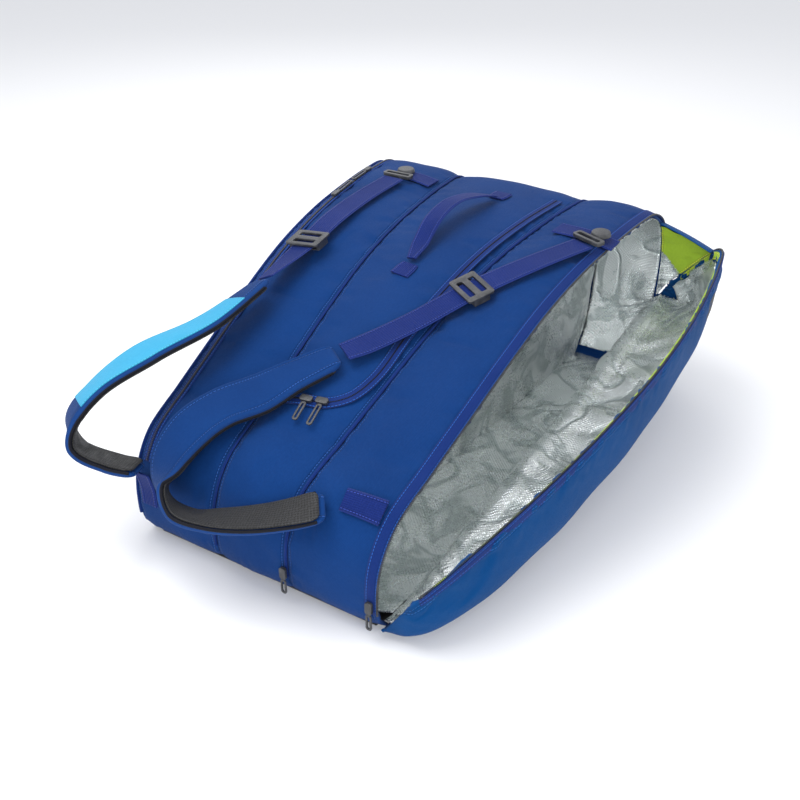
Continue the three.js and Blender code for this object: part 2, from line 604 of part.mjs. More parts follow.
// Swivel buckles: a disc on a sewn webbing tab, and the loop that holds the strap's webbing
function makeSwivel(side, tab, discAt, run, n) {
  piece(`${side}_swivel_tab`, ribbon(tab, 8, WEBBING.thick), navyWeb);
  const disc = new THREE.CylinderGeometry(13, 15, 6, 20).rotateX(Math.PI / 2).translate(0, 0, 3);
  place(piece(`${side}_swivel_disc`, disc, gunmetal), discAt, run, n);
  const ring = roundedRect(16, 50, 4);
  ring.holes.push(roundedRect(7, 41, 2, THREE.Path));
  place(piece(`${side}_swivel_loop`, extrude(ring, 5).translate(24.5, 0, 0), gunmetal), discAt, run, n);
}
const rightTab = [lying(228, 186, 6, 36), lying(185, 186, 6, 36), lying(136, 190, 6, 36)];
makeSwivel("right", rightTab, onTop(205, 184, 12), V(-13, -32, 0), topNormal(184));
const leftTab = [lying(-114, 266, 5, 36), lying(-145, 266, 5, 36), lying(-186, 266, 5, 36)];
makeSwivel("left", leftTab, onTop(-168, 268, 7), V(0, -1, 0), topNormal(268));

// ---------------------------------------------------------------- carry handle
const handleEnds = [onTop(-6, 14, 10), onTop(8, 240, 10)];
const handle = [
  { p: handleEnds[0], n: V(0, -0.5, 0.85), w: 14 }, { p: V(-10, 45, 300), n: V(0, -0.4, 0.9), w: 26 },
  { p: V(-14, 90, 322), n: V(-0.1, -0.2, 1), w: 30 }, { p: V(-12, 140, 332), n: V(-0.1, 0, 1), w: 30 },
  { p: V(-4, 195, 326), n: V(0, 0.3, 0.95), w: 28 }, { p: handleEnds[1], n: V(0, 0.5, 0.85), w: 14 },
];
piece("carry_handle", ribbon(handle, 22, 3), navyWeb);
piece("handle_end_rear", ribbon([lying(-8, -16, 4, 30), lying(-6, 0, 4, 30), lying(-5, 10, 4, 26)], 4, 3), navyWeb);
piece("handle_end_front", ribbon([lying(7, 246, 4, 26), lying(8, 256, 4, 30), lying(9, 272, 4, 30)], 4, 3), navyWeb);

export default bag;
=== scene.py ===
# %% [markdown]
# # Racket tournament bag
# A long, padded, three-compartment racket bag lies on its base with its shoulder straps up. The side
# compartment is unzipped and its outer side has fallen open, so the silver lining shows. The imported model
# gives the frame: every place below is worked out from the same driving dimensions, in millimetres, and is
# turned into metres when a mesh is made.

# %% Load the frame
import json
import math

import bpy
import numpy as np
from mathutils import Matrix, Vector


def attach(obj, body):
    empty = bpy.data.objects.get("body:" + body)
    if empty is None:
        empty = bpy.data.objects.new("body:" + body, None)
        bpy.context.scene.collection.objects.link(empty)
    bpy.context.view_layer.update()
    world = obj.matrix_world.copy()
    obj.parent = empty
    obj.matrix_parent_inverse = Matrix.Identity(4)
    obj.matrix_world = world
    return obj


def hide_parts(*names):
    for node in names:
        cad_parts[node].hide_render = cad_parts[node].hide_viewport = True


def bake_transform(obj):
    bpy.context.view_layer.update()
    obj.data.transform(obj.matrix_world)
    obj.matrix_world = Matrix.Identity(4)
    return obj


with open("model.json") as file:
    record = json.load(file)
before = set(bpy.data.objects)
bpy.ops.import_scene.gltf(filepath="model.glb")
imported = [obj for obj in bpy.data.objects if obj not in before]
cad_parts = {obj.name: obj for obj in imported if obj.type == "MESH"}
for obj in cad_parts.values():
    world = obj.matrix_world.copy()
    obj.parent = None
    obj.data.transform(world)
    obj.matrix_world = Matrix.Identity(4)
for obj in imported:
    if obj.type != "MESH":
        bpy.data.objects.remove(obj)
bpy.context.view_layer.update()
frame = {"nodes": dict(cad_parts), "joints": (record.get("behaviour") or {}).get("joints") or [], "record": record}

scene = bpy.context.scene
MM = 0.001

# %% [markdown]
# ## Camera, light and floor
# The camera stands above the grip end, about one and a half metres away, with a short telephoto lens. A
# big soft light overhead and a weaker one from the side leave soft shadows in the folds.
# The floor is plain and pale, so nothing but the bag draws the eye.

# %% Camera
CAMERA = {"azimuth": 31.47, "elevation": 31.9, "distance": 1.43633, "lens": 44.30}
CAMERA_TARGET = np.array([0.00775, -0.0381, 0.08793])


def direction(azimuth, elevation):
    """The direction from the bag to a viewer: azimuth 0 stands behind the grip end, elevation is upwards."""
    a, e = math.radians(azimuth), math.radians(elevation)
    return np.array([math.sin(a) * math.cos(e), -math.cos(a) * math.cos(e), math.sin(e)])


camera = bpy.data.objects.new("camera", bpy.data.cameras.new("camera"))
scene.collection.objects.link(camera)
camera.data.sensor_width = 36.0
camera.data.lens = CAMERA["lens"]
back = direction(CAMERA["azimuth"], CAMERA["elevation"])
camera.location = CAMERA_TARGET + back * CAMERA["distance"]
camera.rotation_mode = "QUATERNION"
camera.rotation_quaternion = Vector((-back).tolist()).to_track_quat("-Z", "Y")
scene.camera = camera
print("camera at", [round(c, 3) for c in camera.location])


# %% Lights and floor
def area_light(name, azimuth, elevation, distance, size, power, colour=(1, 1, 1)):
    """A square soft light that looks at the bag's middle."""
    light = bpy.data.objects.new(name, bpy.data.lights.new(name, "AREA"))
    scene.collection.objects.link(light)
    toward = direction(azimuth, elevation)
    light.location = CAMERA_TARGET + toward * distance
    light.rotation_mode = "QUATERNION"
    light.rotation_quaternion = Vector((-toward).tolist()).to_track_quat("-Z", "Y")
    light.data.size, light.data.energy, light.data.color = size, power, colour
    return light


area_light("overhead_light", -50, 68, 2.2, 1.6, 34)
area_light("front_light", 25, 22, 2.6, 1.6, 27)
area_light("side_light", 100, 25, 2.6, 1.3, 12)
area_light("rim_light", 215, 35, 2.5, 1.2, 8)

world = bpy.data.worlds.new("studio")
world.use_nodes = True
world.node_tree.nodes["Background"].inputs["Color"].default_value = (0.93, 0.95, 1.0, 1)
world.node_tree.nodes["Background"].inputs["Strength"].default_value = 0.85
scene.world = world
scene.view_settings.view_transform = "Standard"

floor = bpy.data.objects.new("floor", bpy.data.meshes.new("floor"))
FLOOR_SIZE = 12.0
corners = np.array([[-1, -1, 0], [1, -1, 0], [1, 1, 0], [-1, 1, 0]]) * FLOOR_SIZE / 2
floor.data.from_pydata(corners.tolist(), [], [[0, 1, 2, 3]])
scene.collection.objects.link(floor)
floor_material = bpy.data.materials.new("pale_floor")
floor_material.use_nodes = True
floor_shader = floor_material.node_tree.nodes["Principled BSDF"]
floor_shader.inputs["Base Color"].default_value = (0.88, 0.88, 0.88, 1)
floor_shader.inputs["Roughness"].default_value = 0.9
floor.data.materials.append(floor_material)

# %% [markdown]
# ## The bag's outline and its seams
# Seen from the side, the bag is one closed hump: it rises from the grip end, is highest over the racket
# heads and drops steeply at the head end. Every gusset, seam and zip follows that hump, so it is made once,
# as a smooth curve through a few chosen points. Across the bag, the seams are straight lines that spread
# towards the heads.

# %% Driving dimensions
TAIL_Y, HEAD_Y = -385.0, 412.0
LEFT_EDGE, CENTRE, RIGHT, ZIP_EDGE = (-178, -274), (-50, -116), (61, 118), (190, 234)
OUTLINE = [
    [-366, 5], [-381, 24], [-385, 55], [-378, 102], [-347, 143], [-275, 172], [-200, 200], [-100, 237],
    [0, 268], [100, 286], [200, 293], [290, 294], [350, 288], [393, 260], [410, 212], [412, 145],
    [404, 80], [388, 32], [368, 5],
]
GAP, CLOTH, BASE, CROWN, SIDE_BELLY = 0.4, 4.0, 4.0, 9.0, 20.0
FLAP = {"fold_tail": 11, "fold_head": 132, "bow": 50, "belly": 80, "fullness": 0.3, "sag": 0.79, "open": 31}


def smooth_path(points, t):
    """Centripetal Catmull-Rom curve: between two points it is the cubic whose slopes come from the
    neighbours, weighted by the square roots of the distances. t runs from 0 to 1 over all the stretches."""
    p = np.asarray(points, float)
    p = np.vstack([2 * p[0] - p[1], p, 2 * p[-1] - p[-2]])
    f = np.clip(np.asarray(t, float), 0, 1) * (len(p) - 3)
    i = np.minimum(f.astype(int), len(p) - 4)
    s = (f - i)[..., None]
    p0, p1, p2, p3 = (p[i + k] for k in range(4))
    d0, d1, d2 = (
        np.sqrt(np.maximum(np.linalg.norm(b - a, axis=-1), 1e-9))[..., None]
        for a, b in ((p0, p1), (p1, p2), (p2, p3))
    )
    m1 = ((p1 - p0) / d0 - (p2 - p0) / (d0 + d1) + (p2 - p1) / d1) * d1
    m2 = ((p2 - p1) / d1 - (p3 - p1) / (d1 + d2) + (p3 - p2) / d2) * d1
    return (2 * s**3 - 3 * s**2 + 1) * p1 + (s**3 - 2 * s**2 + s) * m1 + (3 * s**2 - 2 * s**3) * p2 + (s**3 - s**2) * m2


OUTLINE_SAMPLES = 4001
hump = smooth_path(OUTLINE, np.linspace(0, 1, OUTLINE_SAMPLES))
hump_arc = np.concatenate([[0], np.cumsum(np.linalg.norm(np.diff(hump, axis=0), axis=1))])
OUTLINE_LENGTH = hump_arc[-1]
hump_arc /= OUTLINE_LENGTH
hump_slope = np.gradient(hump, hump_arc, axis=0)
hump_slope /= np.linalg.norm(hump_slope, axis=1)[:, None]
print("length of a gusset:", round(OUTLINE_LENGTH), "mm")


def outline(t):
    """Point (y, z) of the hump at the share t of its length, and its outward direction (y, z)."""
    y, z = (np.interp(t, hump_arc, hump[:, k]) for k in (0, 1))
    dy, dz = (np.interp(t, hump_arc, hump_slope[:, k]) for k in (0, 1))
    return y, z, -dz, dy


def seam(ends):
    """x of a seam at y: straight from its place at the grip end to its place at the head end."""
    return lambda y: ends[0] + (ends[1] - ends[0]) * (y - TAIL_Y) / (HEAD_Y - TAIL_Y)


left_edge, centre_seam, right_seam, zip_edge = (seam(ends) for ends in (LEFT_EDGE, CENTRE, RIGHT, ZIP_EDGE))
top_part = hump[hump_slope[:, 0] > 0.02]


def top_z(y):
    """Height of the hump's upper side at y."""
    return np.interp(y, top_part[:, 0], top_part[:, 1])


def crown_at(x, y):
    """Rise of a compartment between its two seams: an arch that is 0 at the seams."""
    rise = np.zeros(np.broadcast(x, y).shape)
    for a, b in ((left_edge, centre_seam), (centre_seam, right_seam), (right_seam, zip_edge)):
        s = (x - a(y)) / (b(y) - a(y))
        rise = np.where((s >= 0) & (s <= 1), CROWN * (1 - (2 * s - 1) ** 2), rise)
    return rise


def on_top(x, y, lift):
    """A point lift above the bag's top."""
    return np.array([x, y, float(top_z(y) + crown_at(x, y)) + lift])


def top_normal(y):
    """Direction straight out of the top at y."""
    n = np.array([0, float(top_z(y - 6) - top_z(y + 6)), 12.0])
    return n / np.linalg.norm(n)


# %% [markdown]
# ## Turning surfaces into meshes
# A cloth panel is a surface of two parameters, u along the bag and v across. Its grid of points is worked
# out as whole arrays, pushed in by the cloth's thickness for the inner face, and closed round the rim. Each
# piece carries a UV map measured in metres along the cloth, so that a weave keeps its real size, and an
# attribute with the distance to its sewn edges, so that the stitching runs parallel to the seams.


# %% Mesh helpers
def grid(nu, nv):
    """Two arrays of parameters from 0 to 1, nu by nv."""
    return np.meshgrid(np.linspace(0, 1, nu), np.linspace(0, 1, nv), indexing="ij")


def normals_of(points):
    """Unit normals of a grid: the cross product of its two directions."""
    n = np.cross(np.gradient(points, axis=0), np.gradient(points, axis=1))
    return n / np.maximum(np.linalg.norm(n, axis=-1, keepdims=True), 1e-9)


def facing(points, outward):
    """A grid's normals, all turned the same way round, so that on the whole they look along outward."""
    n = normals_of(points)
    return n if np.mean(np.sum(n * outward, -1)) >= 0 else -n


def lengths_along(points, axis):
    """Distance travelled over the grid along one axis, in metres."""
    step = np.linalg.norm(np.diff(points, axis=axis), axis=-1)
    pad = [(1, 0), (0, 0)] if axis == 0 else [(0, 0), (1, 0)]
    return np.cumsum(np.pad(step, pad), axis=axis) * MM


def build(name, vertices, faces, uv, edge, body=None):
    """Makes an object from arrays: points in millimetres, faces, a UV in metres and the distance from
    the nearest sewn edge, in metres, both for each point."""
    mesh = bpy.data.meshes.new(name)
    mesh.from_pydata((np.asarray(vertices) * MM).tolist(), [], faces)
    layer = mesh.uv_layers.new(name="cloth")
    corner = np.zeros(len(mesh.loops), int)
    mesh.loops.foreach_get("vertex_index", corner)
    layer.data.foreach_set("uv", np.asarray(uv, np.float32)[corner].ravel())
    mesh.attributes.new("edge", "FLOAT", "POINT").data.foreach_set("value", np.asarray(edge, np.float32))
    mesh.polygons.foreach_set("use_smooth", np.ones(len(mesh.polygons), bool))
    mesh.update()
    piece = bpy.data.objects.new(name, mesh)
    scene.collection.objects.link(piece)
    return piece


def grid_faces(rows, cols, start=0, flip=False, wrap=False):
    """Quads of a grid of points that starts at number start; wrap joins its last column to its first."""
    i, j = np.meshgrid(np.arange(rows - 1), np.arange(cols if wrap else cols - 1), indexing="ij")
    k = (j + 1) % cols
    quads = np.stack([i * cols + j, (i + 1) * cols + j, (i + 1) * cols + k, i * cols + k], -1).reshape(-1, 4)
    return (quads[:, ::-1] if flip else quads) + start


def shell(name, points, thick, outward, edges="v"):
    """Closed cloth panel: the grid, the same grid pushed in by thick, and a rim. outward is a direction
    that the outer face looks towards. edges says which sides are sewn, v for both sides across."""
    rows, cols = points.shape[:2]
    normal = normals_of(points)
    flip = np.mean(np.sum(normal * outward, -1)) < 0
    out = -normal if flip else normal
    along, across = lengths_along(points, 0), lengths_along(points, 1)
    side = np.minimum(across, across[:, -1:] - across)
    end = np.minimum(along, along[-1:, :] - along)
    edge = {"v": side, "u": end, "uv": np.minimum(side, end)}[edges]
    vertices = np.concatenate([points.reshape(-1, 3), (points - out * thick).reshape(-1, 3)])
    inner = rows * cols
    ring = np.concatenate([
        np.arange(rows) * cols,
        (rows - 1) * cols + np.arange(1, cols),
        np.arange(rows - 2, -1, -1) * cols + cols - 1,
        np.arange(cols - 2, 0, -1),
    ])
    after = np.roll(ring, -1)
    rim = np.stack([ring, ring + inner, after + inner, after], -1)
    faces = np.concatenate([
        grid_faces(rows, cols, 0, flip), grid_faces(rows, cols, inner, not flip), rim[:, ::-1] if flip else rim,
    ])
    uv = np.tile(np.stack([along, across], -1).reshape(-1, 2), (2, 1))
    return build(name, vertices, faces.tolist(), uv, np.tile(edge.ravel(), 2))


def finish_piece(piece, body, material, slot, *nodes):
    """Gives a piece its material and the body that it moves with, and hides the nodes that it stands for."""
    piece.data.materials.append(material)
    if body:
        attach(piece, body)
    if nodes:
        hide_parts(*nodes)
    print(piece.name, len(piece.data.polygons), "faces")
    return piece


# %% [markdown]
# ## Creases and slack
# Padded cloth is never flat: it puckers along the seams and has long shallow creases where it hangs. Small
# creases are a sum of a few sine waves in seeded random directions. The slack of each panel comes from a
# short cloth simulation: the sewn edges are pinned, the cloth is cut a little too large, and a slight
# pressure stands for the foam.


# %% Creases and cloth simulation
def ripple(points, wavelength, seed, waves=14):
    """Smooth irregular height from -1 to 1: waves in random directions, all about one wavelength long."""
    rng = np.random.default_rng(seed)
    k = rng.normal(size=(waves, 3))
    k *= (2 * np.pi / (wavelength * rng.uniform(0.7, 1.5, waves)) / np.linalg.norm(k, axis=1))[:, None]
    phase = rng.uniform(0, 2 * np.pi, waves)
    return np.sin(points @ k.T + phase).sum(-1) / math.sqrt(waves)


def relax(points, slack, pressure, cap, outward, rise, sink, free_ends=False, frames=16):
    """Simulates a panel as cloth with its edges pinned: slack is how much too large it is cut, and no
    point may move further than cap. Across the surface it is held to rise outwards and sink inwards, so that
    the tapes, tabs and zips sewn on it stay in view. Returns the new grid."""
    rows, cols = points.shape[:2]
    flip = np.mean(np.sum(normals_of(points) * outward, -1)) < 0
    mesh = bpy.data.meshes.new("cloth_trial")
    mesh.from_pydata((points.reshape(-1, 3) * MM).tolist(), [], grid_faces(rows, cols, 0, flip).tolist())
    trial = bpy.data.objects.new("cloth_trial", mesh)
    scene.collection.objects.link(trial)
    pinned = np.zeros((rows, cols), bool)
    pinned[:, [0, -1]] = True
    if not free_ends:
        pinned[[0, -1], :] = True
    trial.vertex_groups.new(name="sewn").add(np.flatnonzero(pinned.ravel()).tolist(), 1.0, "REPLACE")
    settings = trial.modifiers.new("cloth", "CLOTH").settings
    settings.quality, settings.mass = 5, 0.3
    settings.tension_stiffness = settings.compression_stiffness = settings.shear_stiffness = 12
    settings.bending_stiffness = 1.5
    settings.vertex_group_mass = "sewn"
    settings.shrink_min = settings.shrink_max = -slack
    settings.use_pressure, settings.uniform_pressure_force = True, pressure
    settings.effector_weights.gravity = 0
    scene.frame_start, scene.frame_end = 1, frames
    for step in range(1, frames + 1):
        scene.frame_set(step)
    moved = trial.evaluated_get(bpy.context.evaluated_depsgraph_get()).to_mesh()
    co = np.zeros(rows * cols * 3)
    moved.vertices.foreach_get("co", co)
    shift = co.reshape(points.shape) / MM - points
    bpy.data.objects.remove(trial, do_unlink=True)
    scene.frame_set(1)
    length = np.linalg.norm(shift, axis=-1, keepdims=True)
    print("cloth moved up to", round(float(length.max()), 1), "mm, held to", cap)
    shift = shift * np.minimum(1, cap / np.maximum(length, 1e-6))
    out = facing(points, outward)
    across = np.sum(shift * out, -1, keepdims=True)
    held = np.where(across > 0, rise * np.tanh(across / rise), sink * np.tanh(across / sink))
    return points + (shift + out * (held - across)) * (~pinned[..., None])


def pucker(points, outward, depth, seed, reach=22.0, long=70.0):
    """Short creases that start at the sewn sides and die away over reach, plus long shallow ones."""
    across = lengths_along(points, 1) / MM
    side = np.minimum(across, across[:, -1:] - across)
    fade = np.exp(-side / reach) * (1 - np.exp(-side / 3.0))
    n = normals_of(points)
    n = n * np.sign(np.sum(n * outward, -1, keepdims=True) + 1e-9)
    height = fade * ripple(points * [0.5, 1, 1], 17, seed) + 0.55 * ripple(points, long, seed + 1) * (1 - np.exp(-side / 12))
    return points + n * (height * depth - 1.4 * np.exp(-side / 4.0))[..., None]

# %% [markdown]
# ## Finishes
# The cloth is woven polyester: a fine plain weave with a soft sheen, a little uneven in colour. The weave and
# the stitching are node groups, built once, so that every cloth takes the same threads at its own colour.
# Both read the piece's own UV map, in metres, so nothing slides when the bag moves.


# %% Node helpers
def add_node(tree, kind, inputs=None, **settings):
    """Adds a node, sets its properties, and links or sets its inputs."""
    made = tree.nodes.new(kind)
    for key, value in settings.items():
        setattr(made, key, value)
    for key, value in (inputs or {}).items():
        if isinstance(value, bpy.types.NodeSocket):
            tree.links.new(value, made.inputs[key])
        else:
            made.inputs[key].default_value = value
    return made


def calc(tree, operation, a, b=0.0, c=0.0):
    """Output of one math node."""
    return add_node(tree, "ShaderNodeMath", {0: a, 1: b, 2: c}, operation=operation).outputs[0]


def ramp(tree, value, low, high, to_low=0.0, to_high=1.0):
    """Smooth step of value from low to high."""
    inputs = {"Value": value, "From Min": low, "From Max": high, "To Min": to_low, "To Max": to_high}
    return add_node(tree, "ShaderNodeMapRange", inputs, interpolation_type="SMOOTHSTEP").outputs["Result"]


def blend_colour(tree, factor, a, b, mode="MIX"):
    """Colour a turned into colour b by factor."""
    made = add_node(tree, "ShaderNodeMix", {0: factor, 6: a, 7: b}, data_type="RGBA", blend_type=mode)
    return made.outputs[2]


def new_group(name, inputs, outputs):
    """A node group with named inputs (name, type, value) and outputs."""
    tree = bpy.data.node_groups.new(name, "ShaderNodeTree")
    for label, kind, value in inputs:
        socket = tree.interface.new_socket(label, in_out="INPUT", socket_type=kind)
        if value is not None:
            socket.default_value = value
    for label, kind in outputs:
        tree.interface.new_socket(label, in_out="OUTPUT", socket_type=kind)
    return tree, tree.nodes.new("NodeGroupInput"), tree.nodes.new("NodeGroupOutput")


FLOAT, VECTOR = "NodeSocketFloat", "NodeSocketVector"


# %% Weave: threads over and under
def make_weave_group():
    """Height is the product of two sine waves across and along, which is a plain weave; Ribs adds raised
    ribs along the cloth; Tone is a slow uneven shade from noise."""
    tree, given, result = new_group(
        "weave", [("UV", VECTOR, None), ("Period", FLOAT, 0.002), ("Ribs", FLOAT, 0.0)],
        [("Height", FLOAT), ("Tone", FLOAT)],
    )
    parts = add_node(tree, "ShaderNodeSeparateXYZ", {0: given.outputs["UV"]})
    turns = calc(tree, "DIVIDE", 2 * math.pi, given.outputs["Period"])
    along = calc(tree, "SINE", calc(tree, "MULTIPLY", parts.outputs["X"], turns))
    across = calc(tree, "SINE", calc(tree, "MULTIPLY", parts.outputs["Y"], turns))
    plain = calc(tree, "MULTIPLY", along, across)
    ribbed = calc(tree, "MULTIPLY_ADD", across, 0.8, calc(tree, "MULTIPLY", along, 0.35))
    height = add_node(tree, "ShaderNodeMix", {0: given.outputs["Ribs"], 2: plain, 3: ribbed}).outputs[0]
    slubs = add_node(tree, "ShaderNodeTexNoise", {"Vector": given.outputs["UV"], "Scale": 260.0, "Detail": 2.0})
    slow = add_node(tree, "ShaderNodeTexNoise", {"Vector": given.outputs["UV"], "Scale": 9.0, "Detail": 4.0})
    tree.links.new(calc(tree, "MULTIPLY_ADD", slubs.outputs["Fac"], 0.8, height), result.inputs["Height"])
    tone = calc(tree, "MULTIPLY_ADD", slubs.outputs["Fac"], 0.35, calc(tree, "MULTIPLY", slow.outputs["Fac"], 0.65))
    tree.links.new(tone, result.inputs["Tone"])
    return tree


def make_stitch_group():
    """Mask is 1 on dashes of thread that run beside an edge: where the distance from the edge is within
    half a thread of Place, and the share of the stitch's pitch is under its length."""
    tree, given, result = new_group(
        "stitches",
        [("Along", FLOAT, 0.0), ("Edge", FLOAT, 0.0), ("Place", FLOAT, 0.006), ("Pitch", FLOAT, 0.0042),
         ("Thread", FLOAT, 0.0011)],
        [("Mask", FLOAT), ("Groove", FLOAT)],
    )
    away = calc(tree, "ABSOLUTE", calc(tree, "SUBTRACT", given.outputs["Edge"], given.outputs["Place"]))
    line = ramp(tree, calc(tree, "DIVIDE", away, given.outputs["Thread"]), 0.35, 0.62, 1.0, 0.0)
    share = calc(tree, "FRACT", calc(tree, "DIVIDE", given.outputs["Along"], given.outputs["Pitch"]))
    dash = ramp(tree, calc(tree, "ABSOLUTE", calc(tree, "SUBTRACT", share, 0.5)), 0.30, 0.40, 1.0, 0.0)
    tree.links.new(calc(tree, "MULTIPLY", line, dash), result.inputs["Mask"])
    groove = ramp(tree, calc(tree, "DIVIDE", away, given.outputs["Thread"]), 0.3, 2.2, 1.0, 0.0)
    tree.links.new(groove, result.inputs["Groove"])
    return tree


WEAVE, STITCHES = make_weave_group(), make_stitch_group()
print("node groups:", [g.name for g in bpy.data.node_groups])


# %% Cloth material
def cloth_material(name, colour, shade, period=0.0021, ribs=0.0, rough=0.72, sheen=0.04, places=(), thread=None,
                   weave_depth=0.00022, contrast=0.5):
    """Woven cloth: colour and a darker shade mixed by the uneven tone, worn lighter along sewn edges, with
    a row of stitches at each distance in places, and painted shade darkening the groove beside each row."""
    material = bpy.data.materials.new(name)
    material.use_nodes = True
    tree = material.node_tree
    shader = tree.nodes["Principled BSDF"]
    uv = add_node(tree, "ShaderNodeUVMap", uv_map="cloth").outputs["UV"]
    along = add_node(tree, "ShaderNodeSeparateXYZ", {0: uv}).outputs["X"]
    edge = add_node(tree, "ShaderNodeAttribute", attribute_name="edge").outputs["Fac"]
    weave = add_node(tree, "ShaderNodeGroup", {"UV": uv, "Period": period, "Ribs": ribs}, node_tree=WEAVE)
    place = add_node(tree, "ShaderNodeTexCoord").outputs["Object"]
    cloud = add_node(tree, "ShaderNodeTexNoise", {"Vector": place, "Scale": 7.0, "Detail": 5.0}).outputs["Fac"]
    mixed = calc(tree, "MULTIPLY_ADD", weave.outputs["Tone"], contrast, calc(tree, "MULTIPLY", cloud, 1 - contrast))
    # Painted shade: the weave's height also goes into the colour, so the hollows between threads are a little darker;
    # the slubs in the height are random tone.
    mixed = calc(tree, "MULTIPLY_ADD", weave.outputs["Height"], 0.10, mixed)
    base = blend_colour(tree, ramp(tree, mixed, 0.25, 0.85), (*shade, 1), (*colour, 1))
    worn = ramp(tree, edge, 0.0, 0.004, 0.22, 0.0)
    lighter = [min(1, c * 1.5 + 0.03) for c in colour]
    base = blend_colour(tree, worn, base, (*lighter, 1))
    height = calc(tree, "MULTIPLY", weave.outputs["Height"], weave_depth)
    thread_colour = thread or [min(1, c * 1.9 + 0.02) for c in colour]
    for distance in places:
        row = add_node(
            tree, "ShaderNodeGroup", {"Along": along, "Edge": edge, "Place": distance}, node_tree=STITCHES
        )
        # Painted shade: the colour is darkened in the groove beside the row of stitches, where the cloth is drawn in.
        dark = blend_colour(tree, calc(tree, "MULTIPLY", row.outputs["Groove"], 0.45), base, (*[c * 0.45 for c in shade], 1))
        base = blend_colour(tree, row.outputs["Mask"], dark, (*thread_colour, 1))
        height = calc(tree, "MULTIPLY_ADD", row.outputs["Groove"], -0.0010, height)
        height = calc(tree, "MULTIPLY_ADD", row.outputs["Mask"], 0.0008, height)
    bump = add_node(tree, "ShaderNodeBump", {"Height": height, "Distance": 1.0, "Strength": 0.8})
    rougher = ramp(tree, weave.outputs["Tone"], 0.2, 0.8, rough + 0.08, rough - 0.08)
    tree.links.new(base, shader.inputs["Base Color"])
    tree.links.new(rougher, shader.inputs["Roughness"])
    tree.links.new(bump.outputs["Normal"], shader.inputs["Normal"])
    shader.inputs["Sheen Weight"].default_value = sheen
    shader.inputs["Sheen Roughness"].default_value = 0.45
    shader.inputs["Specular IOR Level"].default_value = 0.08
    return material


SEAM_ROWS = (0.0055,)
COBALT, COBALT_SHADE = (0.003, 0.040, 0.175), (0.002, 0.026, 0.120)
AZURE, AZURE_SHADE = (0.0, 0.056, 0.205), (0.0, 0.040, 0.150)
NAVY, NAVY_SHADE = (0.008, 0.024, 0.165), (0.004, 0.015, 0.105)
cobalt_cloth = cloth_material("cobalt_cloth", COBALT, COBALT_SHADE, places=SEAM_ROWS)
azure_cloth = cloth_material("azure_cloth", AZURE, AZURE_SHADE, places=(0.007, 0.0125))
pad_cloth = cloth_material("pad_cloth", COBALT, COBALT_SHADE, places=(0.0075,))
sky_cloth = cloth_material(
    "sky_cloth", (0.045, 0.36, 0.58), (0.03, 0.29, 0.49), rough=0.5, sheen=0.02, weave_depth=0.00008,
    places=(0.003,),
)
navy_webbing = cloth_material(
    "navy_webbing", NAVY, NAVY_SHADE, period=0.0026, ribs=1.0, rough=0.6, weave_depth=0.00045, contrast=0.7,
)
sewn_webbing = cloth_material(
    "sewn_webbing", NAVY, NAVY_SHADE, period=0.0026, ribs=1.0, rough=0.6, weave_depth=0.00045, contrast=0.7,
    places=(0.0035,),
)
navy_tape = cloth_material(
    "navy_tape", (0.007, 0.030, 0.17), (0.004, 0.02, 0.12), period=0.0016, ribs=1.0, rough=0.65,
    weave_depth=0.0003, places=(0.0022,), thread=(0.02, 0.11, 0.46),
)
black_base = cloth_material("black_base", (0.016, 0.016, 0.018), (0.008, 0.008, 0.009), rough=0.6, sheen=0.1)
lining_cloth = cloth_material("lining_cloth", (0.33, 0.35, 0.38), (0.24, 0.26, 0.28), sheen=0.1)
lime_cloth = cloth_material(
    "lime_cloth", (0.52, 0.74, 0.06), (0.36, 0.56, 0.05), period=0.0018, rough=0.6, places=(0.002,),
)
black_binding = cloth_material("black_binding", (0.012, 0.013, 0.018), (0.006, 0.006, 0.01), ribs=1.0, rough=0.6)


# %% [markdown]
# Spacer mesh is knitted with open cells in a slightly glossy black yarn; the cells are painted near black, as shade in
# the holes. Foil lining is a metal film over a woven scrim: mirror-like between its creases, with painted shade along
# the creases and a fine square grid. The buckles are satin moulded plastic with a faint grain and edges rubbed a little
# lighter.


# %% Mesh, foil, plastic and rubber
def plain_material(name, colour, rough, metallic=0.0):
    """A new material with its Principled shader, and its node tree."""
    material = bpy.data.materials.new(name)
    material.use_nodes = True
    shader = material.node_tree.nodes["Principled BSDF"]
    shader.inputs["Base Color"].default_value = (*colour, 1)
    shader.inputs["Roughness"].default_value = rough
    shader.inputs["Metallic"].default_value = metallic
    return material, material.node_tree, shader


def make_spacer_mesh():
    """Cells from a Voronoi texture on the piece's own UV map: painted near black in the middle as shade in the open
    holes, raised yarn between.
    """
    material, tree, shader = plain_material("black_mesh", (0.02, 0.02, 0.022), 0.6)
    uv = add_node(tree, "ShaderNodeUVMap", uv_map="cloth").outputs["UV"]
    cells = add_node(
        tree, "ShaderNodeTexVoronoi", {"Vector": uv, "Scale": 270.0, "Randomness": 0.15}, feature="F1"
    ).outputs["Distance"]
    hole = ramp(tree, cells, 0.28, 0.46, 1.0, 0.0)
    noise = add_node(tree, "ShaderNodeTexNoise", {"Vector": uv, "Scale": 60.0}).outputs["Fac"]
    yarn = blend_colour(tree, noise, (0.010, 0.010, 0.011, 1), (0.022, 0.022, 0.024, 1))
    # Painted shade: the open cells are painted near black.
    colour = blend_colour(tree, hole, yarn, (0.002, 0.002, 0.002, 1))
    tree.links.new(colour, shader.inputs["Base Color"])
    bump = add_node(tree, "ShaderNodeBump", {"Height": calc(tree, "MULTIPLY", hole, -0.0012), "Distance": 1.0})
    tree.links.new(bump.outputs["Normal"], shader.inputs["Normal"])
    tree.links.new(ramp(tree, noise, 0.3, 0.7, 0.5, 0.7), shader.inputs["Roughness"])
    shader.inputs["Sheen Weight"].default_value = 0.03
    return material


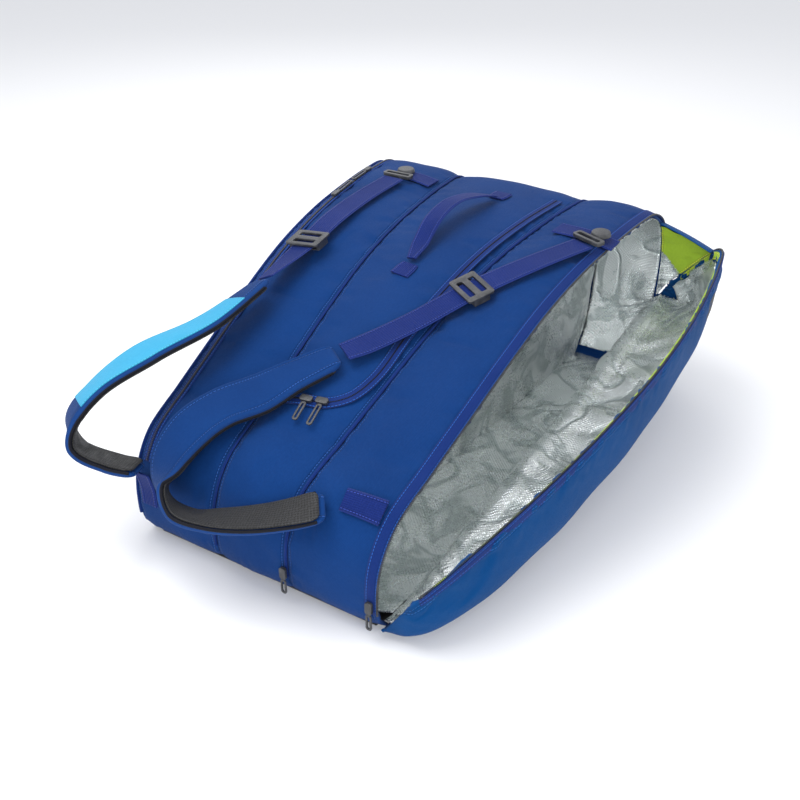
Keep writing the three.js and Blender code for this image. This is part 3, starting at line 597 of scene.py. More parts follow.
def make_foil():
    """Metal film: bright, creased by a ridged noise, with painted shade darkening its colour along the creases and a
    square grid of scrim threads under it.
    """
    material, tree, shader = plain_material("silver_foil", (0.82, 0.84, 0.85), 0.26, 0.92)
    uv = add_node(tree, "ShaderNodeUVMap", uv_map="cloth").outputs["UV"]
    place = add_node(tree, "ShaderNodeTexCoord").outputs["Object"]
    weave = add_node(tree, "ShaderNodeGroup", {"UV": uv, "Period": 0.0048, "Ribs": 0.0}, node_tree=WEAVE)
    folds = add_node(
        tree, "ShaderNodeTexNoise", {"Vector": place, "Scale": 13.0, "Detail": 2.5, "Distortion": 0.9}
    ).outputs["Fac"]
    crease = calc(tree, "ABSOLUTE", calc(tree, "SUBTRACT", folds, 0.5))
    sharp = ramp(tree, crease, 0.0, 0.09)
    height = calc(tree, "MULTIPLY_ADD", sharp, 0.0011, calc(tree, "MULTIPLY", weave.outputs["Height"], 0.00035))
    bump = add_node(tree, "ShaderNodeBump", {"Height": height, "Distance": 1.0, "Strength": 0.9})
    # Painted shade: the colour is darker along the creases.
    shade = blend_colour(tree, sharp, (0.55, 0.60, 0.60, 1), (0.86, 0.89, 0.89, 1))
    tree.links.new(shade, shader.inputs["Base Color"])
    tree.links.new(ramp(tree, weave.outputs["Tone"], 0.3, 0.8, 0.20, 0.42), shader.inputs["Roughness"])
    tree.links.new(bump.outputs["Normal"], shader.inputs["Normal"])
    return material


def make_moulded(name, colour, rough, grain):
    """Moulded plastic or rubber: fine grain in the bump, a faint cloud in the colour and roughness."""
    material, tree, shader = plain_material(name, colour, rough)
    place = add_node(tree, "ShaderNodeTexCoord").outputs["Object"]
    fine = add_node(tree, "ShaderNodeTexNoise", {"Vector": place, "Scale": 2600.0, "Detail": 2.0}).outputs["Fac"]
    cloud = add_node(tree, "ShaderNodeTexNoise", {"Vector": place, "Scale": 90.0, "Detail": 4.0}).outputs["Fac"]
    rubbed = ramp(tree, cloud, 0.45, 0.75)
    lighter = tuple(c * 1.7 + 0.01 for c in colour)
    tree.links.new(blend_colour(tree, rubbed, (*colour, 1), (*lighter, 1)), shader.inputs["Base Color"])
    tree.links.new(ramp(tree, cloud, 0.3, 0.7, rough - 0.07, rough + 0.1), shader.inputs["Roughness"])
    bump = add_node(tree, "ShaderNodeBump", {"Height": calc(tree, "MULTIPLY", fine, grain), "Distance": 1.0})
    tree.links.new(bump.outputs["Normal"], shader.inputs["Normal"])
    return material


black_mesh, silver_foil = make_spacer_mesh(), make_foil()
gunmetal_plastic = make_moulded("gunmetal_plastic", (0.030, 0.031, 0.034), 0.36, 0.0002)
rubber_patch = make_moulded("rubber_patch", (0.010, 0.010, 0.011), 0.6, 0.0004)
print("materials:", len(bpy.data.materials))

# %% [markdown]
# ## Body panels
# Three gussets run over the top from the base at the grip end to the base at the head end. Each is a strip
# of foam-backed cloth that arches a little between its seams. Modelling them as one loft would lose the
# seams, so each is its own panel, relaxed as cloth with its seams pinned.


# %% Gussets
def gusset(lane_a, lane_b, t0=0.0, t1=1.0, nu=190, nv=44, lift=0.0):
    """Strip over the hump: y and z follow the outline, x runs from one seam to the other, and the arch
    between them is highest on top and nearly flat on the upright ends."""
    u, v = grid(nu, nv)
    y, z, out_y, out_z = outline(t0 + (t1 - t0) * u)
    rise = CROWN * (1 - (2 * v - 1) ** 2) * (0.3 + 0.7 * np.maximum(0, out_z)) + lift
    x = lane_a(y) * (1 - v) + lane_b(y) * v
    return np.stack([x, y + out_y * rise, z + out_z * rise], -1)


def outward_of(points, centre_height=110.0):
    """Direction away from the long line through the middle of the bag, for every point."""
    away = points * [0.15, 0.6, 1] - [0, 0, centre_height]
    return away / np.linalg.norm(away, axis=-1, keepdims=True)


def padded_panel(name, points, outward, body, material, slot, nodes, seed, depth=1.3, cap=5.0, thick=CLOTH):
    """A foam-backed panel: relaxed as cloth, puckered along its seams, given its thickness."""
    points = relax(points, 0.012, 1.2, cap, outward, 0.5, 1.6)
    piece = shell(name, pucker(points, outward, depth, seed), thick, outward)
    finish_piece(piece, body, material, slot, *nodes)
    return piece


left_band = gusset(lambda y: left_edge(y) - 0.4, lambda y: centre_seam(y) - GAP)
middle_band = gusset(lambda y: centre_seam(y) + GAP, lambda y: right_seam(y) - GAP)
insulated_band = gusset(lambda y: right_seam(y) + GAP, lambda y: zip_edge(y) - GAP)
for name, points, seed in (
    ("left_gusset", left_band, 11), ("middle_gusset", middle_band, 21), ("insulated_gusset", insulated_band, 31),
):
    padded_panel(f"{name}_cloth", points, outward_of(points), "bag", cobalt_cloth, "cobalt_cloth", [name], seed)


# %% Left side and base
def left_side(nu=150, nv=60):
    """Upright wall that fills the hump: u runs along the base, v from the base to the outline, and the
    racket heads swell it outwards by a product of sines."""
    u, v = grid(nu, nv)
    y, z, _, _ = outline(u)
    first, last = hump[0], hump[-1]
    py = (first[0] * (1 - u) + last[0] * u) * (1 - v) + y * v
    pz = (BASE + 1) * (1 - v) + z * v
    swell = SIDE_BELLY * np.sin(np.pi * v) * np.sqrt(np.sin(np.pi * u).clip(0))
    return np.stack([left_edge(py) - swell, py, pz], -1)


side_points = left_side()
side_out = np.broadcast_to([-1.0, 0, 0], side_points.shape)
padded_panel("left_side_cloth", side_points, side_out, "bag", cobalt_cloth, "cobalt_cloth", ["left_side_panel"], 41)


def base_grid(nu=60, nv=24, inset=6.0):
    """Flat panel that widens with the compartments, with its corners drawn in."""
    u, v = grid(nu, nv)
    y = hump[0, 0] * (1 - u) + hump[-1, 0] * u
    draw_in = inset + 10 * (np.abs(2 * u - 1) ** 12)
    x = (left_edge(y) + draw_in) * (1 - v) + (zip_edge(y) - draw_in) * v
    return np.stack([x, y, np.full_like(x, 0.2)], -1)


base = shell("base_cloth", base_grid(), BASE - 0.3, [0, 0, -1.0], "uv")
finish_piece(base, "bag", black_base, "black_base", "base_panel")


# %% Dividers
def upright_sheet(lane, shift, inset, nu=120, nv=40):
    """Upright sheet inside the hump, at x = lane + shift, drawn in from the outline by inset."""
    u, v = grid(nu, nv)
    y, z, out_y, out_z = outline(u)
    y, z = y - out_y * inset, z - out_z * inset
    py = (y[0, 0] * (1 - u) + y[-1, 0] * u) * (1 - v) + y * v
    pz = (BASE + 1.5) * (1 - v) + z * v
    return np.stack([lane(py) + shift, py, pz], -1)


for name, lane in (("centre_divider", centre_seam), ("right_divider", right_seam)):
    points = upright_sheet(lane, 1.2, 7.0, 60, 20)
    piece = shell(f"{name}_cloth", points, 2.6, [1.0, 0, 0])
    finish_piece(piece, "bag", lining_cloth, "lining_cloth", name)

# %% [markdown]
# ## The side that opens
# The insulated compartment's outer side is one panel of cloth, sewn to the base and unzipped along the top.
# It has fallen outwards over a crease that climbs from the base's corner at the grip end to a third of the
# height at the head end. The wall below the crease stays upright, and the cloth above is turned open about
# the crease, so the panel is one mesh that bends smoothly across the crease.

# %% The crease
fold_tail = np.array([zip_edge(TAIL_Y) + GAP + CLOTH, TAIL_Y, FLAP["fold_tail"]])
fold_head = np.array([zip_edge(HEAD_Y) + GAP + CLOTH, HEAD_Y, FLAP["fold_head"]])
fold_axis = (fold_head - fold_tail) / np.linalg.norm(fold_head - fold_tail)
up_from_fold = np.cross(fold_axis, [1.0, 0, 0]) * -1
up_from_fold /= np.linalg.norm(up_from_fold) * np.sign(up_from_fold[2])
PROFILE_STEPS = 30
flap_joint = next(j for j in frame["joints"] if j["name"] == "flap_fold")
print("crease", np.round(fold_axis, 3), "joint", flap_joint["name"])


def turned(points, degrees):
    """Points turned about the crease by the angles in degrees (Rodrigues' formula)."""
    a = np.radians(degrees)[..., None]
    p = points - fold_tail
    side = np.cross(fold_axis, p)
    along = (p @ fold_axis)[..., None] * fold_axis
    return fold_tail + p * np.cos(a) + side * np.sin(a) + along * (1 - np.cos(a))


headward = [k for k in range(PROFILE_STEPS + 1) if outline(k / PROFILE_STEPS)[0] > 0]


def fold_height(y):
    """Height of the crease, rising evenly from the grip end to the head end."""
    return FLAP["fold_tail"] + (FLAP["fold_head"] - FLAP["fold_tail"]) * (y - TAIL_Y) / (HEAD_Y - TAIL_Y)


above = [k for k in headward if outline(k / PROFILE_STEPS)[1] > fold_height(outline(k / PROFILE_STEPS)[0])]
FLAP_FIRST, FLAP_LAST = 2 / PROFILE_STEPS, above[-1] / PROFILE_STEPS


def flap_at(u, v):
    """Outer face of the closed flap: from the crease at v = 0 to the zip at v = 1, bowed out along the
    zip and swollen between."""
    y1, z1, _, _ = outline(FLAP_FIRST + (FLAP_LAST - FLAP_FIRST) * u)
    y0 = (TAIL_Y + 4) * (1 - u) + (HEAD_Y - 2) * u
    y, z = y0 * (1 - v) + y1 * v, fold_height(y0) * (1 - v) + z1 * v
    arch = np.sin(np.pi * u).clip(0)
    x = zip_edge(y) + GAP + CLOTH + FLAP["bow"] * arch * v * v
    x = x + FLAP["belly"] * arch ** FLAP["fullness"] * np.sin(np.pi * v ** FLAP["sag"])
    return np.stack([x, y, z], -1)


def flap_layer(u0, u1, v0, v1, nu, nv, offset):
    """Part of the opened flap's face, moved out (or in, when negative) along its normal."""
    a, b = grid(nu, nv)
    points = flap_at(u0 + (u1 - u0) * a, v0 + (v1 - v0) * b)
    n = normals_of(points)
    n *= np.sign(n[..., :1] + 1e-9)
    return turned(points + n * offset, np.full(a.shape, float(FLAP["open"])))


# %% Outer side panel
def side_sheet(nu=170, lower=14, upper=70):
    """The wall below the crease, then the flap above it; the turn eases in over the first few rows."""
    u, s = grid(nu, lower)
    y0 = (hump[0, 0] + 0.03 * (hump[-1, 0] - hump[0, 0])) * (1 - u) + hump[-1, 0] * u
    y1 = (TAIL_Y + 4) * (1 - u) + (HEAD_Y - 2) * u
    y = y0 * (1 - s) + y1 * s
    wall = np.stack([zip_edge(y) + GAP + CLOTH, y, (BASE - 1) * (1 - s) + fold_height(y1) * s], -1)
    u, v = grid(nu, upper)
    ease = np.clip(v / 0.05, 0, 1)
    flap = turned(flap_at(u, v), FLAP["open"] * ease * ease * (3 - 2 * ease))
    return np.concatenate([wall[:, :-1], flap], axis=1)


def across_crease(piece):
    """Bakes a piece's placement into its mesh; the piece is bound to neither the bag nor the flap."""
    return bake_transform(piece)


opened_sheet = side_sheet()
opening_out = np.broadcast_to([1.0, 0, -0.1], opened_sheet.shape)
side_points = relax(opened_sheet, 0.010, 0.8, 4.0, opening_out, 3.0, 1.5)
side_points = pucker(side_points, opening_out, 1.8, 51, reach=26, long=110)
side = shell("side_flap_cloth", side_points, CLOTH, opening_out)
finish_piece(side, None, azure_cloth, "azure_cloth", "side_flap", "right_side_lower")
across_crease(side)

# %% [markdown]
# ## Inside the open compartment
# The lining is thin metal film, so it shows every crease. Each sheet of it follows the wall behind it and is
# creased by ridged waves: the absolute value of a smooth ripple has sharp valleys, as foil has.


# %% Foil sheets
def creased(points, outward, depth, seed):
    """Foil creases: ridges from the absolute value of two ripples of different wavelength."""
    n = facing(points, outward)
    broad, fine = np.abs(ripple(points, 95, seed)), np.abs(ripple(points, 34, seed + 1))
    return points + n * (depth * (broad + 0.25 * fine - 0.8))[..., None]


def foil_sheet(name, points, outward, depth, seed, body, node):
    """A creased foil sheet: a smooth sheet that follows the shape of the bag, pushed in and out into
    creases. Its flat size and area are those of the smooth sheet before it is creased, so they follow
    from the shape of the bag and are not a cut that was known beforehand."""
    out = np.broadcast_to(outward, points.shape)
    piece = shell(name, creased(points, out, depth, seed), 0.8, out)
    finish_piece(piece, body, silver_foil, "silver_foil", node)
    if body is None:
        across_crease(piece)
    return piece


foil_sheet("divider_foil", upright_sheet(right_seam, 6.0, 9.0, 150, 60), [1.0, 0, 0], 1.4, 61, "bag",
           "divider_lining")


def floor_foil(nu=150, nv=40):
    """Foil on the floor of the compartment, turned up a little along its outer side."""
    u, v = grid(nu, nv)
    y = (hump[0, 0] + 12) * (1 - u) + (hump[-1, 0] + 4) * u
    x = (right_seam(y) + 5) * (1 - v) + (zip_edge(y) - 1) * v
    return np.stack([x, y, 8.0 + 12 * v**6], -1)


foil_sheet("floor_foil", floor_foil(), [0, 0, 1.0], 1.6, 63, "bag", "floor_lining")

band_points = gusset(
    lambda y: right_seam(y) + 6, lambda y: zip_edge(y) - 3, 2 / PROFILE_STEPS, 1 - 0.4 / PROFILE_STEPS, 170, 30, -6.5,
)
foil_sheet("band_foil", band_points, -outward_of(band_points), 1.2, 65, "bag",
           "band_lining")
# The lining follows the cloth as it lies, evened out along the crease first so that it bridges the bend.
LINING_GAP = 5.2
flap_foil = side_points.copy()
for _ in range(10):
    flap_foil[:, 1:-1] = (flap_foil[:, :-2] + 2 * flap_foil[:, 1:-1] + flap_foil[:, 2:]) / 4
lining_out = facing(side_points, opening_out)
too_far_out = np.sum((flap_foil - side_points) * lining_out, -1, keepdims=True).clip(0)
flap_foil = (flap_foil - lining_out * (CLOTH + LINING_GAP + too_far_out))[2:-2, 1:-6]
foil_sheet("flap_foil", flap_foil, [-1.0, 0, 0.3], 2.2, 67, None, "flap_lining")

# %% [markdown]
# At the head end a folding gusset ties the flap to the band, so that the flap can't fall flat: blue cloth
# outside, lime mesh inside. It spans from the bag to the flap and is bound to neither body. The
# flap's free edge is bound in lime tape.


# %% Head gusset and lime edges
def head_gusset(nu=70, nv=40, inset=1.0, bulge=7.0):
    """Cloth from the band's edge to the flap: straight lines between matching points, swollen outwards by
    an arch. The far end runs along the flap's zip edge and then down its head edge to the crease."""
    u, v = grid(nu, nv)
    spots = np.linspace(0.5, 1, 400)
    y, z, _, _ = outline(spots)
    t0 = spots[np.argmax((y > 300) & (z < 262))]
    t1 = spots[np.argmax((y > 300) & (z < FLAP["fold_head"] + 4))]
    y, z, out_y, out_z = outline(t0 + (t1 - t0) * u)
    near = np.stack([zip_edge(y) - 1.5, y - out_y * inset, z - out_z * inset], -1)
    start, turn = (t0 - FLAP_FIRST) / (FLAP_LAST - FLAP_FIRST), 0.55
    along_zip = start + (1 - start) * np.clip(u / turn, 0, 1)
    far = flap_at(along_zip, 0.985 * np.clip((1 - u) / (1 - turn), 0, 1)) - [CLOTH - 1, 0, 0]
    far = turned(far, np.full(u.shape, float(FLAP["open"])))
    points = near * (1 - v[..., None]) + far * v[..., None]
    rise = (bulge - inset) * np.sin(np.pi * v) * np.sin(np.pi * (0.1 + 0.9 * u)).clip(0)
    return points + np.stack([0 * rise, rise, 0.3 * rise], -1)


def across_gusset(piece):
    """Bakes a piece's placement into its mesh; the piece is not blended between the bag and the flap."""
    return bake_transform(piece)


for name, inset, material, slot, nodes, rows in (
    ("head_gusset_cloth", 1.0, cobalt_cloth, "cobalt_cloth", ["head_gusset"], slice(None)),
    ("head_gusset_mesh", 4.5, lime_cloth, "lime_binding", [], slice(0, 30)),
    ("head_gusset_foil", 4.5, silver_foil, "silver_foil", [], slice(28, None)),
):
    points = head_gusset(inset=inset)[rows]
    gusset_out = np.broadcast_to([0, 1.0, 0.3], points.shape)
    piece = shell(name, pucker(points, gusset_out, 2.0, 71, reach=18, long=40), 1.4, gusset_out)
    finish_piece(piece, None, material, slot, *nodes)
    across_gusset(piece)

edge_out = [-1.0, 0, 0.4]
binding = shell("lime_edge", flap_layer(0.03, 0.97, 0.925, 0.985, 200, 8, -CLOTH - 1.6), 1.6, edge_out)
finish_piece(binding, "flap", lime_cloth, "lime_binding", "flap_binding")


# %% [markdown]
# ## Zips
# A zip is a tape with a coil of teeth. The tapes lie on the cloth like strips, and the teeth are real
# geometry: one small block is repeated along the zip's line, with its own directions at every step.


# %% Zip tapes and teeth
def strip_on(lane, a, b, t0, t1, lift, nu=150, nv=8):
    """Strip on the hump from lane + a to lane + b, raised over the cloth by lift."""
    u, v = grid(nu, nv)
    y, z, out_y, out_z = outline(t0 + (t1 - t0) * u)
    x = lane(y) + a + (b - a) * v
    rise = crown_at(x, y) * (0.3 + 0.7 * np.maximum(0, out_z)) + lift
    return np.stack([x, y + out_y * rise, z + out_z * rise], -1)


def teeth(name, path, facing, body, material, width=3.4, height=1.6, pitch=2.3, length=1.3):
    """A block with a bevelled top at every pitch along the path, turned to the path's direction."""
    arc = np.concatenate([[0], np.cumsum(np.linalg.norm(np.diff(path, axis=0), axis=1))])
    at = np.arange(pitch, arc[-1] - pitch, pitch)
    centre, up = (np.stack([np.interp(at, arc, values[:, k]) for k in range(3)], -1) for values in (path, facing))
    ahead = np.gradient(centre, axis=0)
    ahead /= np.linalg.norm(ahead, axis=1, keepdims=True)
    across = np.cross(up, ahead)
    across /= np.linalg.norm(across, axis=1, keepdims=True)
    up = np.cross(ahead, across)
    box = np.array([[x, y, 0] for x, y in ((-1, -1), (1, -1), (1, 1), (-1, 1))] +
                   [[x * 0.6, y * 0.6, 1] for x, y in ((-1, -1), (1, -1), (1, 1), (-1, 1))])
    box *= [length / 2, width / 2, height]
    points = centre[:, None] + sum(box[None, :, k, None] * d[:, None] for k, d in enumerate((ahead, across, up)))
    quads = np.array([[3, 2, 1, 0], [4, 5, 6, 7], [0, 1, 5, 4], [1, 2, 6, 5], [2, 3, 7, 6], [3, 0, 4, 7]])
    faces = (quads[None] + 8 * np.arange(len(at))[:, None, None]).reshape(-1, 4)
    n = len(at) * 8
    piece = build(name, points.reshape(-1, 3), faces.tolist(), np.zeros((n, 2)), np.full(n, 0.01))
    return finish_piece(piece, body, material, "gunmetal_plastic")


STATION_NEAR_HEAD = min(
    (k for k in range(8, PROFILE_STEPS) if outline(k / PROFILE_STEPS)[3] > 0.02),
    key=lambda k: abs(outline(k / PROFILE_STEPS)[0] - 380),
)


def zip_on_hump(name, lane, a, b, first, last, node, teeth_at):
    """A tape on the hump with its line of teeth at the share teeth_at of its width."""
    points = strip_on(lane, a, b, first / PROFILE_STEPS, last / PROFILE_STEPS, 1.7)
    out = outward_of(points)
    finish_piece(shell(f"{name}_tape_cloth", points, 1.4, out), "bag", navy_tape, "navy_tape", node)
    column = int(round(teeth_at * (points.shape[1] - 1)))
    teeth(f"{name}_teeth", points[:, column], out[:, column], "bag", gunmetal_plastic)


zip_on_hump("left_zip", left_edge, 8, 22, 3, STATION_NEAR_HEAD, "left_zip_tape", 0.5)
zip_on_hump("insulated_zip", zip_edge, -16, 0.5, 1, STATION_NEAR_HEAD + 1, "insulated_zip_tape", 1.0)
flap_tape = flap_layer(0.02, 0.98, 0.93, 1.0, 200, 8, 1.6)
finish_piece(
    shell("flap_zip_tape_cloth", flap_tape, 1.5, [1.0, 0, 0.3]), "flap", navy_tape, "navy_tape", "flap_zip_tape"
)
flap_edge = flap_layer(0.02, 0.98, 0.99, 1.0, 200, 2, -1.2)
flap_rise = flap_edge[:, 1] - flap_edge[:, 0]
teeth("flap_teeth", flap_edge[:, 1], flap_rise, "flap", gunmetal_plastic, width=2.6, height=2.6)


# %% [markdown]
# ## Bands that follow a path
# Webbing, straps and the curved zip are one section carried along a smooth path. At every step the path's
# direction and the way the outer face looks give the two directions across, so the band can turn over.


# %% Bands
def band_frames(stations, steps, t0=0.0, t1=1.0):
    """Points, across and outward directions and half widths along the path through the stations."""
    t = np.linspace(t0, t1, steps)
    p = smooth_path([s[0] for s in stations], t)
    facing = smooth_path([s[1] for s in stations], t)
    ahead = np.gradient(p, axis=0)
    across = np.cross(ahead, facing)
    across /= np.linalg.norm(across, axis=1, keepdims=True)
    up = np.cross(across, ahead)
    up /= np.linalg.norm(up, axis=1, keepdims=True)
    width = np.interp(t, np.linspace(0, 1, len(stations)), [s[2] for s in stations]) / 2
    return p, across, up, width


def band(name, frames, section, close=0.0):
    """Carries a closed section round the path. section gives (share of the half width, mm outwards) for
    each of its points; close rounds both ends in over that length, in mm."""
    p, across, up, width = frames
    arc = np.concatenate([[0], np.cumsum(np.linalg.norm(np.diff(p, axis=0), axis=1))])
    end = np.clip(np.minimum(arc, arc[-1] - arc) / close, 0, 1) if close else np.ones(len(arc))
    shrink = np.sqrt(1 - (1 - end) ** 2).clip(0.05)
    s = np.asarray(section, float)
    middle = s[:, 1].mean()
    a = s[None, :, 0] * (width * (1 - 0.35 * (1 - shrink)))[:, None]
    b = middle + (s[None, :, 1] - middle) * shrink[:, None]
    points = p[:, None] + a[..., None] * across[:, None] + b[..., None] * up[:, None]
    rows, cols = points.shape[:2]
    faces = grid_faces(rows, cols, 0, False, wrap=True).tolist()
    faces += [list(range(cols)), list(range(rows * cols - 1, (rows - 1) * cols - 1, -1))]
    uv = np.stack([np.repeat(arc * MM, cols), (a * MM).ravel()], -1)
    edge = ((width[:, None] - np.abs(a)) * MM).clip(0).ravel()
    piece = build(name, points.reshape(-1, 3), faces, uv, edge)
    outer = np.cross(points[1, 1] - points[1, 0], points[2, 0] - points[1, 0]) @ (points[1].mean(0) - points[1, 0])
    if outer > 0:
        piece.data.flip_normals()
    return piece


def flat_section(thick, soft=0.9, across=13):
    """Thin rectangle with rounded sides: the top from side to side, then the bottom back."""
    s = np.linspace(-1, 1, across)
    drop = soft * np.maximum(0, (np.abs(s) - 0.92) / 0.08) ** 2
    return np.concatenate([np.stack([s, -drop], -1), np.stack([s[::-1], -thick + drop[::-1]], -1)])


def pad_section(top=0.0, bottom=-9.0, across=41, roll=3.4, quilt=1.1):
    """Cushioned top, drawn down by a stitched channel near each side, and a flat bottom with round sides."""
    s = np.linspace(-1, 1, across)
    edge = np.sqrt(np.clip(1 - ((np.abs(s) - 0.86) / 0.14).clip(0) ** 2, 0, 1))
    channel = quilt * np.exp(-(((np.abs(s) - 0.76) / 0.05) ** 2))
    up = (bottom + roll) + (top - bottom - roll) * edge - channel - 1.2 * s**2
    low = bottom + roll * (1 - np.sqrt(np.clip(1 - ((np.abs(s) - 0.9) / 0.1).clip(0) ** 2, 0, 1)))
    return np.concatenate([np.stack([s, up], -1), np.stack([s[::-1][1:-1], low[::-1][1:-1]], -1)])


def lying(x, y, lift, width):
    """A station of a band that lies on the bag's top."""
    return on_top(x, y, lift), top_normal(y), width


def at(x, y, z, facing, width):
    """A station of a band in the air: its outer face's middle, the way that face looks, and its width."""
    return np.array([x, y, z], float), np.array(facing, float), width


# %% Curved zip of the middle compartment
J_ZIP = [
    [88, 300], [80, 200], [72, 90], [67, 0], [61, -100], [59, -180], [46, -220], [22, -241], [-8, -246], [-36, -249],
]
j_stations = [lying(x, y, 3.4, 19) for x, y in J_ZIP]
j_frames = band_frames(j_stations, 260)
finish_piece(band("middle_zip_tape_cloth", j_frames, flat_section(1.8)), "bag", navy_tape, "navy_tape", "middle_zip_tape")
j_line, j_up = j_frames[0], j_frames[2]
teeth("middle_teeth", j_line, j_up, "bag", black_binding, width=2.2, height=0.7, pitch=1.9, length=1.5)


# %% Hem over the gusset
hem_line = head_gusset(inset=-1.0)[0]
hem_stations = [
    (hem_line[k] + [0, -6, 3], np.array([0.0, 0.25, 1.0]), 26) for k in range(0, len(hem_line), 3)
]
hem = band("gusset_hem", band_frames(hem_stations, 60), flat_section(2.2))
finish_piece(hem, None, azure_cloth, "azure_cloth")
across_gusset(hem)


# %% Piping
def bead(name, path, radius, body, material, slot, *nodes, sides=10):
    """Round bead carried along a path, closed at both ends."""
    ahead = np.gradient(path, axis=0)
    ahead /= np.linalg.norm(ahead, axis=1, keepdims=True)
    level = np.cross(ahead, [0.05, 0.02, 1.0])
    level /= np.linalg.norm(level, axis=1, keepdims=True)
    rise = np.cross(level, ahead)
    a = np.linspace(0, 2 * np.pi, sides, endpoint=False)
    ring = np.cos(a)[None, :, None] * level[:, None] + np.sin(a)[None, :, None] * rise[:, None]
    points = path[:, None] + ring * radius
    rows = len(path)
    arc = np.concatenate([[0], np.cumsum(np.linalg.norm(np.diff(path, axis=0), axis=1))]) * MM
    faces = grid_faces(rows, sides, 0, True, wrap=True).tolist()
    faces += [list(range(sides)), list(range(rows * sides - 1, (rows - 1) * sides - 1, -1))]
    uv = np.stack([np.repeat(arc, sides), np.tile(a * radius * MM, rows)], -1)
    piece = build(name, points.reshape(-1, 3), faces, uv, np.full(rows * sides, 0.02))
    return finish_piece(piece, body, material, slot, *nodes)


def seam_line(lane, t0, t1, lift, steps=260):
    """The seam's line over the hump, raised by lift."""
    y, z, out_y, out_z = outline(np.linspace(t0, t1, steps))
    return np.stack([lane(y), y + out_y * lift, z + out_z * lift], -1)


first, last = 1 / PROFILE_STEPS, 1 - 1 / PROFILE_STEPS
bead("centre_piping_cord", seam_line(centre_seam, first, last, 0.6), 1.9, "bag", navy_tape, "navy_tape", "centre_piping")
bead("right_piping_cord", seam_line(right_seam, first, last, 0.9), 2.3, "bag", navy_tape, "navy_tape", "right_piping")
bead("left_piping_cord", seam_line(left_edge, first, last, 0.0), 2.3, "bag", navy_tape, "navy_tape")

# %% [markdown]
# ## Shoulder straps
# Each strap is a foam pad covered in body cloth, bound in black along its edges and backed with spacer mesh.
# It narrows to webbing that runs through an adjuster to a swivel buckle. The pad's section has a channel
# sewn along each side, which is what makes it read as foam.

# %% Strap routes
PAD_OUTER, PAD_MESH, WEBBING_THICK = 9.0, 4.0, 2.4
right_webbing = [
    lying(192, 152, 9, 38), lying(153, 62, 10.5, 38), lying(106, -16, 12.8, 38), lying(62, -92, 12.5, 38),
    lying(26, -150, 13, 38), lying(9, -177, 18, 34),
]
right_pad = [
    lying(3, -186, 22, 44), lying(-33, -234, 26, 54), lying(-58, -270, 31, 66), lying(-90, -310, 27, 68),
    at(-107, -350, 179, (-0.08, -0.5, 0.85), 70), at(-113, -391, 152, (-0.25, -0.8, 0.5), 66),
    at(-101, -420, 124, (-0.35, -0.85, -0.25), 58), at(-60, -430, 106, (-0.1, -0.5, -0.85), 52),
    at(-10, -422, 112, (0, -0.2, -0.98), 50), at(40, -404, 123, (0, 0, -1), 48),
    at(82, -386, 138, (0, 0.15, -1), 46), at(112, -368, 151, (0, 0.35, -0.94), 42),
]
left_webbing = [
    lying(-169, 231, 9, 38), lying(-171, 150, 9, 38), lying(-168, 60, 13, 38),
    at(-164, -12, 290, (-0.1, -0.15, 1), 38), at(-162, -60, 283, (-0.25, -0.15, 0.95), 38),
    at(-163, -116, 274, (-0.45, -0.1, 0.88), 34),
]
left_pad = [
    at(-164, -122, 275, (-0.45, -0.1, 0.88), 42), at(-180, -224, 252, (-0.35, -0.1, 0.93), 62),
    at(-208, -311, 239, (-0.3, -0.2, 0.93), 66), at(-232, -380, 214, (-0.5, -0.35, 0.75), 64),
    at(-243, -419, 182, (-0.6, -0.75, 0.35), 60), at(-224, -434, 148, (-0.5, -0.65, -0.6), 54),
    at(-182, -418, 128, (-0.1, -0.35, -0.93), 48), at(-146, -404, 124, (0, -0.2, -0.97), 40),
]


# %% Strap pieces
def make_strap(side, webbing, pad):
    """Webbing, pad, spacer mesh and edge binding of one shoulder strap."""
    body = f"{side}_strap"
    frames = band_frames(webbing, 150)
    finish_piece(
        band(f"{body}_webbing_cloth", frames, flat_section(WEBBING_THICK)), body, sewn_webbing, "navy_webbing",
        f"{side}_strap_webbing",
    )
    frames = band_frames(pad, 260)
    cushion = band(f"{body}_cushion", frames, pad_section(), close=16)
    finish_piece(cushion, body, pad_cloth, "cobalt_cloth", f"{side}_strap_pad")
    mesh_frames = band_frames(pad, 240, 0.012, 0.988)
    knit = band(f"{body}_knit", mesh_frames, pad_section(-8.6, -13.2, 31, 1.8, 0.3) * [0.97, 1], close=12)
    finish_piece(knit, body, black_mesh, "black_mesh", f"{side}_strap_mesh")
    p, across, up, width = frames
    for way, label in ((-1, "near"), (1, "far")):
        path = p + across * (width * 0.985)[:, None] * way - up * 8.2
        bead(f"{body}_{label}_binding", path[6:-6], 2.0, body, black_binding, "black_mesh")


make_strap("right", right_webbing, right_pad)
make_strap("left", left_webbing, left_pad)

cover_frames = band_frames(left_pad, 130, 0.07, 0.5)
arch = np.linspace(-0.94, 0.94, 25)
cover_section = np.concatenate([
    np.stack([arch, 0.5 - 1.2 * arch**2], -1), np.stack([arch[::-1], -0.7 - 1.2 * arch[::-1] ** 2], -1),
])
cover = band("left_strap_panel", cover_frames, cover_section)
finish_piece(cover, "left_strap", sky_cloth, "sky_cloth", "left_strap_cover")
